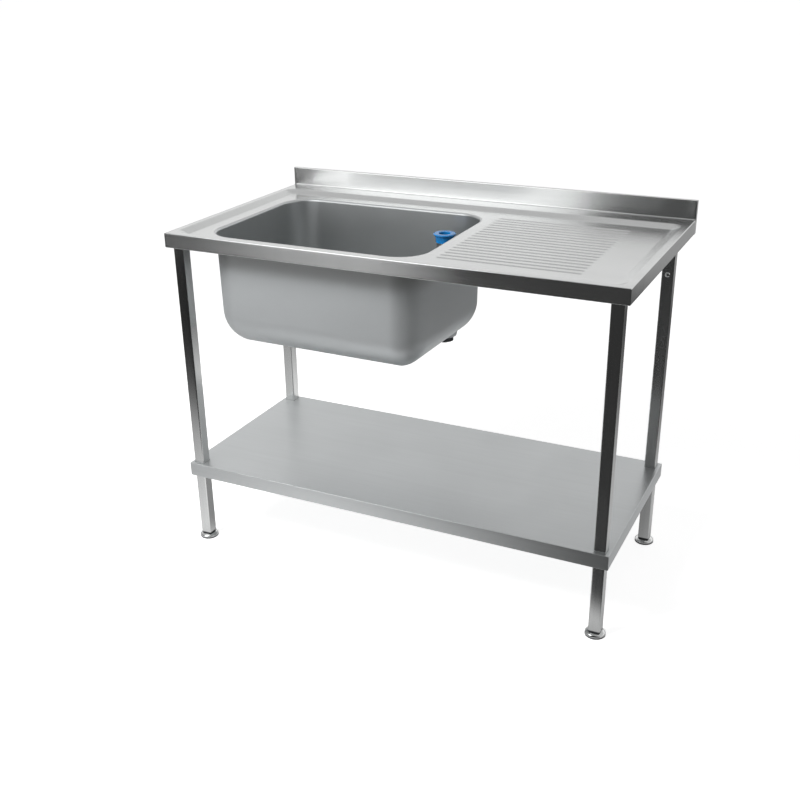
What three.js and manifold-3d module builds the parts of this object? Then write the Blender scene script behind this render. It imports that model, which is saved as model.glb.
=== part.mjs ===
// Free-standing catering sink unit in folded and drawn stainless sheet: a pressed worktop with one deep
// bowl and a ribbed drainer, four square legs, an undershelf, levelling feet and a standing waste.
// Millimetres. +X runs along the front to the right, +Y to the back, +Z up, floor at Z = 0.
import * as THREE from 'three';
import { mergeVertices } from 'three/addons/utils/BufferGeometryUtils.js';
import Module from 'manifold-3d';

const wasm = await Module();
wasm.setup();

// ---- driving dimensions ---------------------------------------------------------------------------

const WIDTH = 1200;
const DEPTH = 660;
const RIM_Z = 890;
const UPSTAND_RISE = 50;
const UPSTAND_THICK = 14;
const APRON = 38;
const HEM = 12;
const SHEET = 1.2;
const GAP = 0.3;

const RECESS_DEPTH = 10;
const RECESS_SLOPE = 26;
const RIM_FLAT = 18;
const LEDGE = 60;
const RECESS_CORNER = 32;
const STEP_BEND = 8;
const APRON_EDGE = 2.6;
const UPSTAND_BEND = 3;

const BOWL_X = [-522, 81];
const BOWL_Y = [-273, 195];
const BOWL_CORNER = 80;
const BOWL_LIP = 6;
const BOWL_WALL = 4.2;
const BOWL_FLANGE = 6;
const BOWL_DEPTH = 308;
const BOWL_DRAFT = 0.014;
const BOWL_FALL = [-0.008, -0.028];
const BOWL_FILLET = 93;

const DRAINER_X = [112, 468];
const RIB_COUNT = 18;
const RIB_PITCH = 24.1;
const RIB_FIRST_Y = -235;
const RIB_WIDTH = 14;
const RIB_DEPTH = 1.8;
const RIB_RUNOUT = 16;
const RIB_FLANK = 0.35;
const DRAINER_MARGIN = 8;

const WASTE = [-11, 103];
const WASTE_SEAT_DROP = 4.5;
const WASTE_DISH_R = 36;
const WASTE_TAIL_R = 16.6;
const WASTE_BORE_R = 13.5;
const WASTE_FLANGE_R = 32;
const NUT_FLATS = 50;
const NUT_TURN = -5;

const STANDPIPE_TOP = 846;
const STANDPIPE_R = 22.5;
const COLLAR_R = 30.5;
const COLLAR_HOLE_R = 15.3;

const LEG = 30;
const LEG_WALL = 1.5;
const LEG_BOTTOM = 17;
const LEG_X = 570;
const LEG_FRONT_Y = -301;
const LEG_REAR_Y = 185;
const LEG_SCREW_Z = 781;
const SPIGOT = 26.2;
const SPIGOT_WALL = 2;
const SPIGOT_BOTTOM = 757;
const SOCKET_PLATE = 38;

const SHELF_Z = 238;
const SHELF_SHEET = 1;
const SHELF_X = 595;
const SHELF_Y = [-325, 209];
const SHELF_FLANGE = 38;
const SHELF_HEM = 8;
const SHELF_SCREW_Z = 221;

const FOOT_R = 25.6;
const FOOT_PAD = 4;
const FOOT_STEM_R = 5;
const FOOT_STEM_TOP = 62;

const SCREW_R = 4;
const SCREW_HEAD_R = 6.8;
const SCREW_LENGTH = 12;

// ---- values worked out from them ------------------------------------------------------------------

const SIDE = WIDTH / 2;
const FRONT = -DEPTH / 2;
const REAR = DEPTH / 2;
const APRON_Z = RIM_Z - APRON;
const DECK_Z = RIM_Z - RECESS_DEPTH;
const UPSTAND_FACE = REAR - UPSTAND_THICK;
const RECESS = {
  x: [-SIDE + RIM_FLAT, SIDE - RIM_FLAT],
  y: [FRONT + RIM_FLAT, UPSTAND_FACE - LEDGE],
};
const BOWL_BOTTOM = DECK_Z - BOWL_DEPTH;
const BOWL_CENTRE = [(BOWL_X[0] + BOWL_X[1]) / 2, (BOWL_Y[0] + BOWL_Y[1]) / 2];
const CHANNEL_Z = 858;
const RIB_LAST_Y = RIB_FIRST_Y + (RIB_COUNT - 1) * RIB_PITCH;

// ---- shape tools ----------------------------------------------------------------------------------

const CORNER_STEPS = 7;
const TUBE_CORNER_STEPS = 2;
const BEND_STEPS = 3;
const ROUND_STEPS = 28;
const FOOT_STEPS = 24;
const SCREW_STEPS = 14;

function toSolid(geometry) {
  const bare = geometry.clone();
  bare.deleteAttribute('normal');
  bare.deleteAttribute('uv');
  const merged = mergeVertices(bare, 1e-4);
  const vertProperties = new Float32Array(merged.attributes.position.array);
  const triVerts = new Uint32Array(merged.index.array);
  return new wasm.Manifold(new wasm.Mesh({ numProp: 3, vertProperties, triVerts }));
}

function toGeometry(solid) {
  const mesh = solid.getMesh();
  const geometry = new THREE.BufferGeometry();
  geometry.setAttribute('position', new THREE.BufferAttribute(mesh.vertProperties, 3));
  geometry.setIndex(new THREE.BufferAttribute(mesh.triVerts, 1));
  geometry.computeVertexNormals();
  return geometry;
}

function join(...geometries) {
  return toGeometry(geometries.map(toSolid).reduce((sum, solid) => sum.add(solid)));
}

function cut(geometry, ...tools) {
  return toGeometry(tools.map(toSolid).reduce((left, solid) => left.subtract(solid), toSolid(geometry)));
}

function common(a, b) {
  return toGeometry(toSolid(a).intersect(toSolid(b)));
}

// Signed volume of an indexed geometry, which tells whether its faces point outwards.
function signedVolume(points, triangles) {
  let sum = 0;
  for (const [a, b, c] of triangles) {
    sum += points[a].dot(new THREE.Vector3().crossVectors(points[b], points[c]));
  }
  return sum / 6;
}

// A surface through loops of equal length. The loops close on themselves; the row of loops either
// closes too (a ring), or is capped at both ends.
function loft(loops, ring) {
  const count = loops[0].length;
  const points = loops.flat();
  const triangles = [];
  const rows = ring ? loops.length : loops.length - 1;
  for (let i = 0; i < rows; i += 1) {
    const next = (i + 1) % loops.length;
    for (let j = 0; j < count; j += 1) {
      const k = (j + 1) % count;
      triangles.push([i * count + j, i * count + k, next * count + k]);
      triangles.push([i * count + j, next * count + k, next * count + j]);
    }
  }
  if (!ring) {
    const flat = flatten(loops[0]);
    const last = (loops.length - 1) * count;
    for (const [a, b, c] of THREE.ShapeUtils.triangulateShape(flat, [])) {
      const up = THREE.ShapeUtils.isClockWise(flat) ? [a, b, c] : [c, b, a];
      triangles.push(up);
      triangles.push([last + up[0], last + up[2], last + up[1]]);
    }
  }
  if (signedVolume(points, triangles) < 0) triangles.forEach((triangle) => triangle.reverse());
  const geometry = new THREE.BufferGeometry().setFromPoints(points);
  geometry.setIndex(triangles.flat());
  return geometry;
}

// The two coordinates in which a planar loop is widest, for triangulating its cap.
function flatten(loop) {
  const size = new THREE.Box3().setFromPoints(loop).getSize(new THREE.Vector3());
  const axes = ['x', 'y', 'z'].sort((a, b) => size[b] - size[a]).slice(0, 2);
  return loop.map((point) => new THREE.Vector2(point[axes[0]], point[axes[1]]));
}

// Rounds the inner vertices of an open line of [u, v] points with arcs of the radii given per vertex.
function rounded(points, radii) {
  const line = [points[0]];
  for (let i = 1; i < points.length - 1; i += 1) {
    const here = new THREE.Vector2(...points[i]);
    const back = new THREE.Vector2(...points[i - 1]).sub(here).normalize();
    const ahead = new THREE.Vector2(...points[i + 1]).sub(here).normalize();
    const half = Math.acos(THREE.MathUtils.clamp(back.dot(ahead), -1, 1)) / 2;
    const reach = radii[i - 1] / Math.tan(half);
    const bisector = back.clone().add(ahead).normalize();
    const centre = here.clone().addScaledVector(bisector, radii[i - 1] / Math.sin(half));
    const start = here.clone().addScaledVector(back, reach).sub(centre);
    const turn = Math.PI - 2 * half;
    const sense = Math.sign(back.cross(ahead)) * -1;
    for (let step = 0; step <= BEND_STEPS; step += 1) {
      const spoke = start.clone().rotateAround(new THREE.Vector2(), (sense * turn * step) / BEND_STEPS);
      line.push([centre.x + spoke.x, centre.y + spoke.y]);
    }
  }
  line.push(points[points.length - 1]);
  return line;
}

// Moves an open line of [u, v] points sideways to its left by a distance, with mitred corners.
function offsetLine(points, distance) {
  const side = (a, b) => {
    const along = new THREE.Vector2(b[0] - a[0], b[1] - a[1]).normalize();
    return new THREE.Vector2(-along.y, along.x);
  };
  return points.map((point, i) => {
    const before = side(points[Math.max(i - 1, 0)], points[Math.max(i, 1)]);
    const after = side(points[Math.min(i, points.length - 2)], points[Math.min(i + 1, points.length - 1)]);
    const mitre = before.clone().add(after).multiplyScalar(distance / (1 + before.dot(after)));
    return [point[0] + mitre.x, point[1] + mitre.y];
  });
}

// The two faces of a folded sheet in section: one along the points, the other a thickness to their left.
function foldedFaces(points, thickness, bend) {
  const bends = Array.isArray(bend) ? bend : points.slice(2).map(() => bend);
  const turns = points.slice(1, -1).map((here, i) => {
    const a = points[i];
    const b = points[i + 2];
    return (here[0] - a[0]) * (b[1] - here[1]) - (here[1] - a[1]) * (b[0] - here[0]);
  });
  const radii = (outside) => turns.map((turn, i) => bends[i] + (turn > 0 === outside ? thickness : 0));
  return [rounded(points, radii(true)), rounded(offsetLine(points, thickness), radii(false))];
}

function foldedSection(points, thickness, bend) {
  const [near, far] = foldedFaces(points, thickness, bend);
  return [...near, ...far.reverse()];
}

// Places of a line of [distance inwards, z] points at each plan corner of a path, mitred there.
function mitredLoops(corners, line, closed) {
  const count = corners.length;
  const inward = (a, b) => {
    const along = new THREE.Vector2(b[0] - a[0], b[1] - a[1]).normalize();
    return new THREE.Vector2(-along.y, along.x);
  };
  return corners.map((corner, i) => {
    const previous = closed || i > 0 ? inward(corners[(i + count - 1) % count], corner) : null;
    const following = closed || i < count - 1 ? inward(corner, corners[(i + 1) % count]) : null;
    const a = previous ?? following;
    const b = following ?? previous;
    const mitre = a.clone().add(b).multiplyScalar(1 / (1 + a.dot(b)));
    return line.map(([inset, z]) => {
      const shift = mitre.clone().multiplyScalar(inset);
      return new THREE.Vector3(corner[0] + shift.x, corner[1] + shift.y, z);
    });
  });
}

// ---- pressed sheet --------------------------------------------------------------------------------

// A patch of sheet is a list of point pairs, outer face and inner face, and the triangles between them.
function gridPatch(outer, inner, closed) {
  const count = outer[0].length;
  const pairs = outer.flatMap((row, i) => row.map((point, j) => [point, inner[i][j]]));
  const triangles = [];
  const rows = closed ? outer.length : outer.length - 1;
  for (let i = 0; i < rows; i += 1) {
    const next = (i + 1) % outer.length;
    for (let j = 0; j < count - 1; j += 1) {
      triangles.push([i * count + j, next * count + j, next * count + j + 1]);
      triangles.push([i * count + j, next * count + j + 1, i * count + j + 1]);
    }
  }
  return { pairs, triangles };
}

function flatPatch(boundary, holes, top, thickness) {
  const flat = (loop) => loop.map((point) => new THREE.Vector2(point.x, point.y));
  const triangles = THREE.ShapeUtils.triangulateShape(flat(boundary), holes.map(flat));
  const pairs = [boundary, ...holes].flat().map((point) => level(point, top, thickness));
  return { pairs, triangles };
}

function level(point, top, thickness) {
  return [new THREE.Vector3(point.x, point.y, top), new THREE.Vector3(point.x, point.y, top - thickness)];
}

// Flat strip between one straight edge and a row of points opposite to it, as two fans.
function fanPatch(a, b, row, top, thickness) {
  const pairs = [a, b, ...row].map((point) => level(point, top, thickness));
  const middle = Math.floor(row.length / 2);
  const triangles = [[0, 1, middle + 2]];
  for (let i = 0; i < row.length - 1; i += 1) triangles.push([i < middle ? 0 : 1, i + 3, i + 2]);
  return { pairs, triangles };
}

// Turns patches whose edges meet point to point into one closed solid, with a wall along each free edge.
function sheetSolid(patches) {
  const ids = new Map();
  const outer = [];
  const inner = [];
  const triangles = [];
  const key = (point) => point.toArray().map((value) => Math.round(value * 1e3)).join();
  const idOf = ([outside, inside]) => {
    const name = `${key(outside)}|${key(inside)}`;
    if (!ids.has(name)) {
      ids.set(name, outer.length);
      outer.push(outside);
      inner.push(inside);
    }
    return ids.get(name);
  };
  for (const patch of patches) {
    const own = patch.pairs.map(idOf);
    const facing = patch.triangles.reduce((sum, [a, b, c]) => {
      const [p, q, r] = [a, b, c].map((i) => patch.pairs[i][0]);
      const normal = new THREE.Vector3().crossVectors(q.clone().sub(p), r.clone().sub(p));
      return sum + normal.dot(p.clone().sub(patch.pairs[a][1]));
    }, 0);
    for (const [a, b, c] of patch.triangles) {
      triangles.push(facing > 0 ? [own[a], own[b], own[c]] : [own[a], own[c], own[b]]);
    }
  }
  const edges = new Set(triangles.flatMap(([a, b, c]) => [`${a},${b}`, `${b},${c}`, `${c},${a}`]));
  const base = outer.length;
  const faces = [...triangles, ...triangles.map(([a, b, c]) => [c + base, b + base, a + base])];
  for (const edge of edges) {
    const [a, b] = edge.split(',').map(Number);
    if (!edges.has(`${b},${a}`)) faces.push([b, a, a + base], [b, a + base, b + base]);
  }
  const geometry = new THREE.BufferGeometry().setFromPoints([...outer, ...inner]);
  geometry.setIndex(faces.flat());
  return geometry;
}

// Plan outline of a rectangle with round corners, counter-clockwise, at a height or a height function.
function outline(x, y, radius, height, steps = CORNER_STEPS) {
  const points = [];
  const middle = [(x[0] + x[1]) / 2, (y[0] + y[1]) / 2];
  for (let corner = 0; corner < 4; corner += 1) {
    const right = corner === 0 || corner === 3;
    const back = corner < 2;
    const cx = right ? Math.max(x[1] - radius, middle[0]) : Math.min(x[0] + radius, middle[0]);
    const cy = back ? Math.max(y[1] - radius, middle[1]) : Math.min(y[0] + radius, middle[1]);
    for (let step = 0; step <= steps; step += 1) {
      const angle = ((corner + step / steps) * Math.PI) / 2;
      const px = cx + radius * Math.cos(angle);
      const py = cy + radius * Math.sin(angle);
      points.push(new THREE.Vector3(px, py, typeof height === 'function' ? height(px, py) : height));
    }
  }
  return points;
}

function squareOutline(half, corner) {
  return outline([-half, half], [-half, half], corner, 0, TUBE_CORNER_STEPS);
}

// Circle with as many points as an outline, started so that the two can be joined side to side.
function circleLoop(centre, radius, z) {
  const count = 4 * (CORNER_STEPS + 1);
  return Array.from({ length: count }, (_, i) => {
    const angle = ((i + 0.5) / count) * 2 * Math.PI;
    const x = centre[0] + radius * Math.cos(angle);
    const y = centre[1] + radius * Math.sin(angle);
    return new THREE.Vector3(x, y, typeof z === 'function' ? z(x, y) : z);
  });
}

function shapeFrom(points) {
  return new THREE.Shape(points.map((point) => new THREE.Vector2(point.x, point.y)));
}

function plate(boundary, holes, bottom, top) {
  const shape = shapeFrom(boundary);
  shape.holes.push(...holes.map((hole) => new THREE.Path(shapeFrom(hole).getPoints())));
  const geometry = new THREE.ExtrudeGeometry(shape, { depth: top - bottom, bevelEnabled: false });
  return geometry.translate(0, 0, bottom);
}

// Folded section of [across, z] points drawn out straight along X or Y between two places.
function channel(section, axis, from, to) {
  const place = (along) => section.map(([across, z]) => (axis === 'x'
    ? new THREE.Vector3(along, across, z)
    : new THREE.Vector3(across, along, z)));
  return loft([place(from), place(to)], false);
}

// Solid turned about +Z from [radius, z] points. Open at the axis, or closed on itself when it has a bore.
function turned(profile, bored, steps = ROUND_STEPS) {
  const points = profile.map(([r, z]) => new THREE.Vector2(r, z));
  if (THREE.ShapeUtils.isClockWise(points)) points.reverse();
  if (bored) points.push(points[0].clone());
  return new THREE.LatheGeometry(points, steps).rotateX(Math.PI / 2);
}

function rod(radius, from, to, axis) {
  const steps = radius > 10 ? ROUND_STEPS : SCREW_STEPS;
  const geometry = new THREE.CylinderGeometry(radius, radius, to - from, steps);
  if (axis === 'z') geometry.rotateX(Math.PI / 2);
  const middle = (from + to) / 2;
  return axis === 'z' ? geometry.translate(0, 0, middle) : geometry.translate(0, middle, 0);
}

function hexagon(flats, from, to) {
  const geometry = new THREE.CylinderGeometry(flats / Math.sqrt(3), flats / Math.sqrt(3), to - from, 6);
  return geometry.rotateX(Math.PI / 2).translate(0, 0, (from + to) / 2);
}

// ---- materials ------------------------------------------------------------------------------------

function finish(color, roughness, metalness) {
  return () => new THREE.MeshStandardMaterial({ color, roughness, metalness });
}

const brushedSteel = finish(0xb6b9ba, 0.34, 1);
const satinSteel = finish(0xa7aaab, 0.45, 1);
const legSteel = finish(0x9a9d9e, 0.4, 1);
const galvanisedSteel = finish(0x8f9496, 0.55, 1);
const screwSteel = finish(0xc4c6c8, 0.25, 1);
const blackRubber = finish(0x1c1d1f, 0.8, 0);
const greyPlastic = finish(0x3d4043, 0.55, 0);
const bluePlastic = finish(0x2f86d6, 0.35, 0);

// ---- worktop --------------------------------------------------------------------------------------

function recessOutline(inset, height) {
  const radius = Math.max(RECESS_CORNER - inset, 3);
  const x = [RECESS.x[0] + inset, RECESS.x[1] - inset];
  const y = [RECESS.y[0] + inset, RECESS.y[1] - inset];
  return outline(x, y, radius, height);
}

// The sloped step from the raised rim down to the deck, all round: its line of [inset, z] points.
const STEP_LINE = rounded([[-3, RIM_Z], [0, RIM_Z], [RECESS_SLOPE, DECK_Z], [RECESS_SLOPE + 2, DECK_Z]],
  [STEP_BEND, STEP_BEND]);

function recessStep() {
  const loops = STEP_LINE.map(([inset, z]) => recessOutline(inset, z));
  const rings = loops[0].map((_, j) => loops.map((loop) => loop[j]));
  const under = rings.map((ring) => ring.map((point) => point.clone().setZ(point.z - SHEET)));
  return gridPatch(rings, under, true);
}

function rimPlate() {
  const x = SIDE - APRON_EDGE;
  const y = [FRONT + APRON_EDGE, UPSTAND_FACE - UPSTAND_BEND];
  const hole = recessOutline(STEP_LINE[0][0], 0);
  return flatPatch(rectangle([-x, x], y), [hole], RIM_Z, SHEET);
}

function bowlOutline(outset, height) {
  const x = [BOWL_X[0] - outset, BOWL_X[1] + outset];
  const y = [BOWL_Y[0] - outset, BOWL_Y[1] + outset];
  return outline(x, y, BOWL_CORNER + outset, height);
}

function rectangle(x, y) {
  const corners = [[x[0], y[0]], [x[1], y[0]], [x[1], y[1]], [x[0], y[1]]];
  return corners.map(([px, py]) => new THREE.Vector3(px, py, 0));
}

const DRAINER_Y = [RIB_FIRST_Y - RIB_WIDTH, RIB_LAST_Y + RIB_WIDTH];
const DRAINER_FRAME = rectangle(
  [DRAINER_X[0] - DRAINER_MARGIN, DRAINER_X[1] + DRAINER_MARGIN],
  [DRAINER_Y[0] - DRAINER_MARGIN, DRAINER_Y[1] + DRAINER_MARGIN],
);

function deckPlate() {
  const inner = recessOutline(STEP_LINE[STEP_LINE.length - 1][0], 0);
  return flatPatch(inner, [bowlOutline(BOWL_FLANGE + GAP, 0), DRAINER_FRAME], DECK_Z, SHEET);
}

// Drop of the drainer's surface: soft grooves across Y that run out at both ends along X.
function ribDrop(x, y) {
  const nearest = Math.round((y - RIB_FIRST_Y) / RIB_PITCH);
  const across = Math.abs(y - RIB_FIRST_Y - nearest * RIB_PITCH);
  const inside = nearest >= 0 && nearest < RIB_COUNT;
  const groove = inside ? THREE.MathUtils.smoothstep(RIB_WIDTH / 2 - across, 0, RIB_WIDTH * RIB_FLANK) : 0;
  const margin = Math.min(x - DRAINER_X[0], DRAINER_X[1] - x) - 4;
  return RIB_DEPTH * groove * THREE.MathUtils.smoothstep(margin, 0, RIB_RUNOUT);
}

// The ribbed drainer and the flat frame round it.
function drainerPatches() {
  const [x0, x1] = DRAINER_X;
  const runout = [0, 4, 12, 20];
  const stationsX = [...runout.map((d) => x0 + d), ...runout.map((d) => x1 - d).reverse()];
  const stationsY = [DRAINER_Y[0]];
  for (let rib = 0; rib < RIB_COUNT; rib += 1) {
    const centre = RIB_FIRST_Y + rib * RIB_PITCH;
    const shares = [-0.5, RIB_FLANK - 0.5, 0.5 - RIB_FLANK, 0.5];
    stationsY.push(...shares.map((share) => centre + share * RIB_WIDTH));
  }
  stationsY.push(DRAINER_Y[1]);
  const rows = stationsX.map((x) => stationsY.map((y) => new THREE.Vector3(x, y, DECK_Z - ribDrop(x, y))));
  const under = rows.map((row) => row.map((point) => point.clone().setZ(point.z - SHEET)));
  const [a, b, c, d] = DRAINER_FRAME;
  const front = rows.map((row) => row[0]);
  const back = rows.map((row) => row[row.length - 1]).reverse();
  const left = [...rows[0]].reverse();
  const fan = (from, to, row) => fanPatch(from, to, row, DECK_Z, SHEET);
  return [gridPatch(rows, under, false), fan(a, b, front), fan(b, c, rows[rows.length - 1]), fan(c, d, back),
    fan(d, a, left)];
}

// Front and side aprons: rounded top edge, vertical face and a hem turned inwards at the bottom.
function aprons() {
  const line = [[APRON_EDGE + 4, RIM_Z], [0, RIM_Z], [0, APRON_Z], [HEM, APRON_Z]];
  const [outer, inner] = foldedFaces(line, SHEET, [APRON_EDGE - SHEET, 0.8]).map((face) => face.slice(1));
  const end = UPSTAND_FACE - UPSTAND_BEND;
  const path = [[-SIDE, end], [-SIDE, FRONT], [SIDE, FRONT], [SIDE, end]];
  return gridPatch(mitredLoops(path, outer, false), mitredLoops(path, inner, false), false);
}

// Rear upstand folded up from the ledge, over the top and down the back to a hem.
function upstand() {
  const top = RIM_Z + UPSTAND_RISE;
  const line = [[UPSTAND_FACE - UPSTAND_BEND - 4, RIM_Z], [UPSTAND_FACE, RIM_Z], [UPSTAND_FACE, top],
    [REAR, top], [REAR, APRON_Z], [REAR - 10, APRON_Z]];
  const faces = foldedFaces(offsetLine(line, -SHEET), SHEET, [UPSTAND_BEND, 1, 1, 0.8]);
  const [inner, outer] = faces.map((face) => face.slice(1));
  const reach = SIDE - APRON_EDGE;
  const place = (face) => [-reach, reach].map((x) => face.map(([y, z]) => new THREE.Vector3(x, y, z)));
  return gridPatch(place(outer), place(inner), false);
}

function sinkTop() {
  return sheetSolid([recessStep(), rimPlate(), deckPlate(), ...drainerPatches(), aprons(), upstand()]);
}

// Plate that closes an end of the upstand and follows the fold at its foot.
function upstandEnd(side) {
  const foot = UPSTAND_FACE - UPSTAND_BEND + GAP;
  const shape = new THREE.Shape();
  shape.moveTo(foot, APRON_Z);
  shape.lineTo(REAR, APRON_Z);
  shape.lineTo(REAR, RIM_Z + UPSTAND_RISE);
  shape.lineTo(UPSTAND_FACE, RIM_Z + UPSTAND_RISE);
  shape.lineTo(UPSTAND_FACE, RIM_Z + UPSTAND_BEND);
  shape.quadraticCurveTo(UPSTAND_FACE, RIM_Z, foot, RIM_Z);
  const geometry = new THREE.ExtrudeGeometry(shape, { depth: SHEET, bevelEnabled: false, curveSegments: 4 });
  geometry.rotateX(Math.PI / 2).rotateZ(Math.PI / 2);
  return geometry.translate(side > 0 ? SIDE - SHEET : -SIDE, 0, 0);
}

// ---- bowl -----------------------------------------------------------------------------------------

// Height with the bottom's fall to the waste: none at the top of the wall, all of it at the bottom.
function fallenHeight(z) {
  const share = THREE.MathUtils.clamp((DECK_Z - z) / BOWL_DEPTH, 0, 1);
  return (x, y) => z + share * (BOWL_FALL[0] * (x - BOWL_CENTRE[0]) + BOWL_FALL[1] * (y - BOWL_CENTRE[1]));
}

// Distance of a plan point inside the bowl's opening, measured square to the nearest edge.
function insetAt(x, y) {
  const half = [(BOWL_X[1] - BOWL_X[0]) / 2 - BOWL_CORNER, (BOWL_Y[1] - BOWL_Y[0]) / 2 - BOWL_CORNER];
  const beyond = [Math.abs(x - BOWL_CENTRE[0]) - half[0], Math.abs(y - BOWL_CENTRE[1]) - half[1]];
  const outside = Math.hypot(Math.max(beyond[0], 0), Math.max(beyond[1], 0));
  return BOWL_CORNER - outside - Math.min(Math.max(...beyond), 0);
}

// Inset of the inner face where the wall ends and the bottom fillet begins.
const FILLET_TOP = BOWL_BOTTOM + BOWL_FILLET;
const FILLET_INSET = BOWL_WALL + BOWL_DRAFT * (DECK_Z - BOWL_LIP - FILLET_TOP);

// Height of the fillet and the flat bottom over a plan point.
function floorHeight(skin) {
  return (x, y) => {
    const reach = Math.max(FILLET_INSET + BOWL_FILLET - insetAt(x, y), 0);
    const rise = BOWL_FILLET - Math.sqrt((BOWL_FILLET + skin) ** 2 - reach ** 2);
    return fallenHeight(BOWL_BOTTOM + rise)(x, y);
  };
}

// Plan outline of the bowl with its own inset at the near sides (left, front) and far sides (right, rear).
function bowlLoop(near, far, height) {
  const x = [BOWL_X[0] + near, BOWL_X[1] - far];
  const y = [BOWL_Y[0] + near, BOWL_Y[1] - far];
  return outline(x, y, Math.max(BOWL_CORNER - far, 3), height);
}

// One face of the bowl from the flange to the waste hole. Skin is 0 inside and a thickness outside.
function bowlFace(skin) {
  const loops = [bowlOutline(BOWL_FLANGE, DECK_Z - skin)];
  for (let step = 0; step <= BEND_STEPS; step += 1) {
    const angle = (step / BEND_STEPS) * (Math.PI / 2);
    const lip = BOWL_LIP - skin;
    const outset = BOWL_LIP - BOWL_WALL - lip * Math.sin(angle);
    loops.push(bowlOutline(outset, DECK_Z - BOWL_LIP + lip * Math.cos(angle)));
  }
  // The far sides stop short of the flat bottom, so that the dish for the waste has room beside them.
  const steps = 8;
  const last = 2 / 3;
  for (let step = 0; step <= steps; step += 1) {
    const angle = (step / steps) * (Math.PI / 2);
    const share = Math.min(step / steps, last);
    const farAngle = share * (Math.PI / 2);
    const inset = (turn) => FILLET_INSET + BOWL_FILLET - (BOWL_FILLET + skin) * Math.cos(turn);
    const exact = fallenHeight(FILLET_TOP - (BOWL_FILLET + skin) * Math.sin(angle));
    const far = inset(farAngle) + 3 * (step / steps - share);
    loops.push(bowlLoop(inset(angle), far, step / steps <= last ? exact : floorHeight(skin)));
  }
  const seat = fallenHeight(BOWL_BOTTOM)(...WASTE) - WASTE_SEAT_DROP - skin;
  loops.push(circleLoop(WASTE, WASTE_DISH_R, floorHeight(skin)));
  loops.push(circleLoop(WASTE, WASTE_DISH_R - 2, seat + 1));
  loops.push(circleLoop(WASTE, WASTE_DISH_R - 3, seat));
  loops.push(circleLoop(WASTE, WASTE_TAIL_R + 1.4, seat));
  return loops;
}

function bowl() {
  return loft([...bowlFace(0), ...bowlFace(SHEET).reverse()], true);
}

const WASTE_SEAT_Z = fallenHeight(BOWL_BOTTOM)(...WASTE) - WASTE_SEAT_DROP;

// ---- stiffeners under the worktop and the shelf ---------------------------------------------------

// Hat section: two flanges at the top and a web that hangs between them.
function hatSection(centre, web, flange, top, height, thickness) {
  const half = web / 2;
  const line = [[centre - half - flange, top], [centre - half, top], [centre - half, top - height],
    [centre + half, top - height], [centre + half, top], [centre + half + flange, top]];
  return foldedSection(offsetLine(line, -thickness), thickness, 1);
}

function drainerChannel() {
  const top = DECK_Z - RIB_DEPTH - SHEET - GAP;
  const middle = (DRAINER_X[0] + DRAINER_X[1]) / 2;
  return channel(hatSection(middle, 44, 16, top, 18, 1.5), 'y', RECESS.y[0] + 40, RECESS.y[1] - 36);
}

function sideChannel(side) {
  const deckUnder = DECK_Z - SHEET - GAP;
  const rimUnder = RIM_Z - SHEET - 2 * GAP;
  const thickness = 1.5;
  const line = [[536, deckUnder - thickness], [550, deckUnder - thickness], [550, CHANNEL_Z],
    [588, CHANNEL_Z], [588, rimUnder]];
  const section = foldedSection(line, thickness, 1);
  const geometry = channel(section, 'y', LEG_FRONT_Y - LEG / 2 - 1, LEG_REAR_Y + LEG / 2 + 10);
  return side > 0 ? geometry : mirrored(geometry);
}

// Mirror image across the plane X = 0, with its faces turned back outwards.
function mirrored(geometry) {
  const flipped = geometry.clone().scale(-1, 1, 1);
  const index = flipped.index.array;
  for (let i = 0; i < index.length; i += 3) [index[i], index[i + 1]] = [index[i + 1], index[i]];
  return flipped;
}

function shelfChannel() {
  const middle = (SHELF_Y[0] + SHELF_Y[1]) / 2;
  const section = hatSection(middle, 60, 18, SHELF_Z - SHELF_SHEET - GAP, 24, 1);
  return channel(section, 'x', -SHELF_X + 50, SHELF_X - 50);
}

// ---- legs and what holds them ---------------------------------------------------------------------

function squareTube(size, wall, corner, from, to) {
  const bore = squareOutline(size / 2 - wall, Math.max(corner - wall, 0.8));
  return plate(squareOutline(size / 2, corner), [bore], from, to);
}

// Both kinds of screw enter on the leg's inward face, which is at +Y in the leg's own frame.
function leg() {
  const tube = squareTube(LEG, LEG_WALL, 3, LEG_BOTTOM, CHANNEL_Z - 2 * GAP - 3);
  const hole = (z) => rod(SCREW_R + 0.5, 5, LEG, 'y').translate(0, 0, z);
  return cut(tube, hole(LEG_SCREW_Z), hole(SHELF_SCREW_Z));
}

function legSocket() {
  const top = CHANNEL_Z - GAP;
  const head = plate(squareOutline(SOCKET_PLATE / 2, 2), [], top - 3, top);
  const spigot = squareTube(SPIGOT, SPIGOT_WALL, 2, SPIGOT_BOTTOM, top - 2);
  return cut(join(head, spigot), rod(SCREW_R + 0.35, 5, LEG, 'y').translate(0, 0, LEG_SCREW_Z));
}

// Domed socket-head screw along +Y: head outside, at Y = 0 and above, and shaft towards -Y.
function domedScrew() {
  const headHeight = 4.2;
  const dome = Array.from({ length: 4 }, (_, i) => {
    const angle = (i / 4) * (Math.PI / 2);
    return [SCREW_HEAD_R * Math.cos(angle) ** 0.7, headHeight * Math.sin(angle)];
  });
  const profile = [[0, -SCREW_LENGTH], [SCREW_R - 0.8, -SCREW_LENGTH], [SCREW_R, -SCREW_LENGTH + 0.8],
    [SCREW_R, 0], ...dome, [0, headHeight]];
  const solid = cut(turned(profile, false, SCREW_STEPS), hexagon(5, 1.8, headHeight + 1));
  return solid.rotateX(-Math.PI / 2);
}

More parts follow.
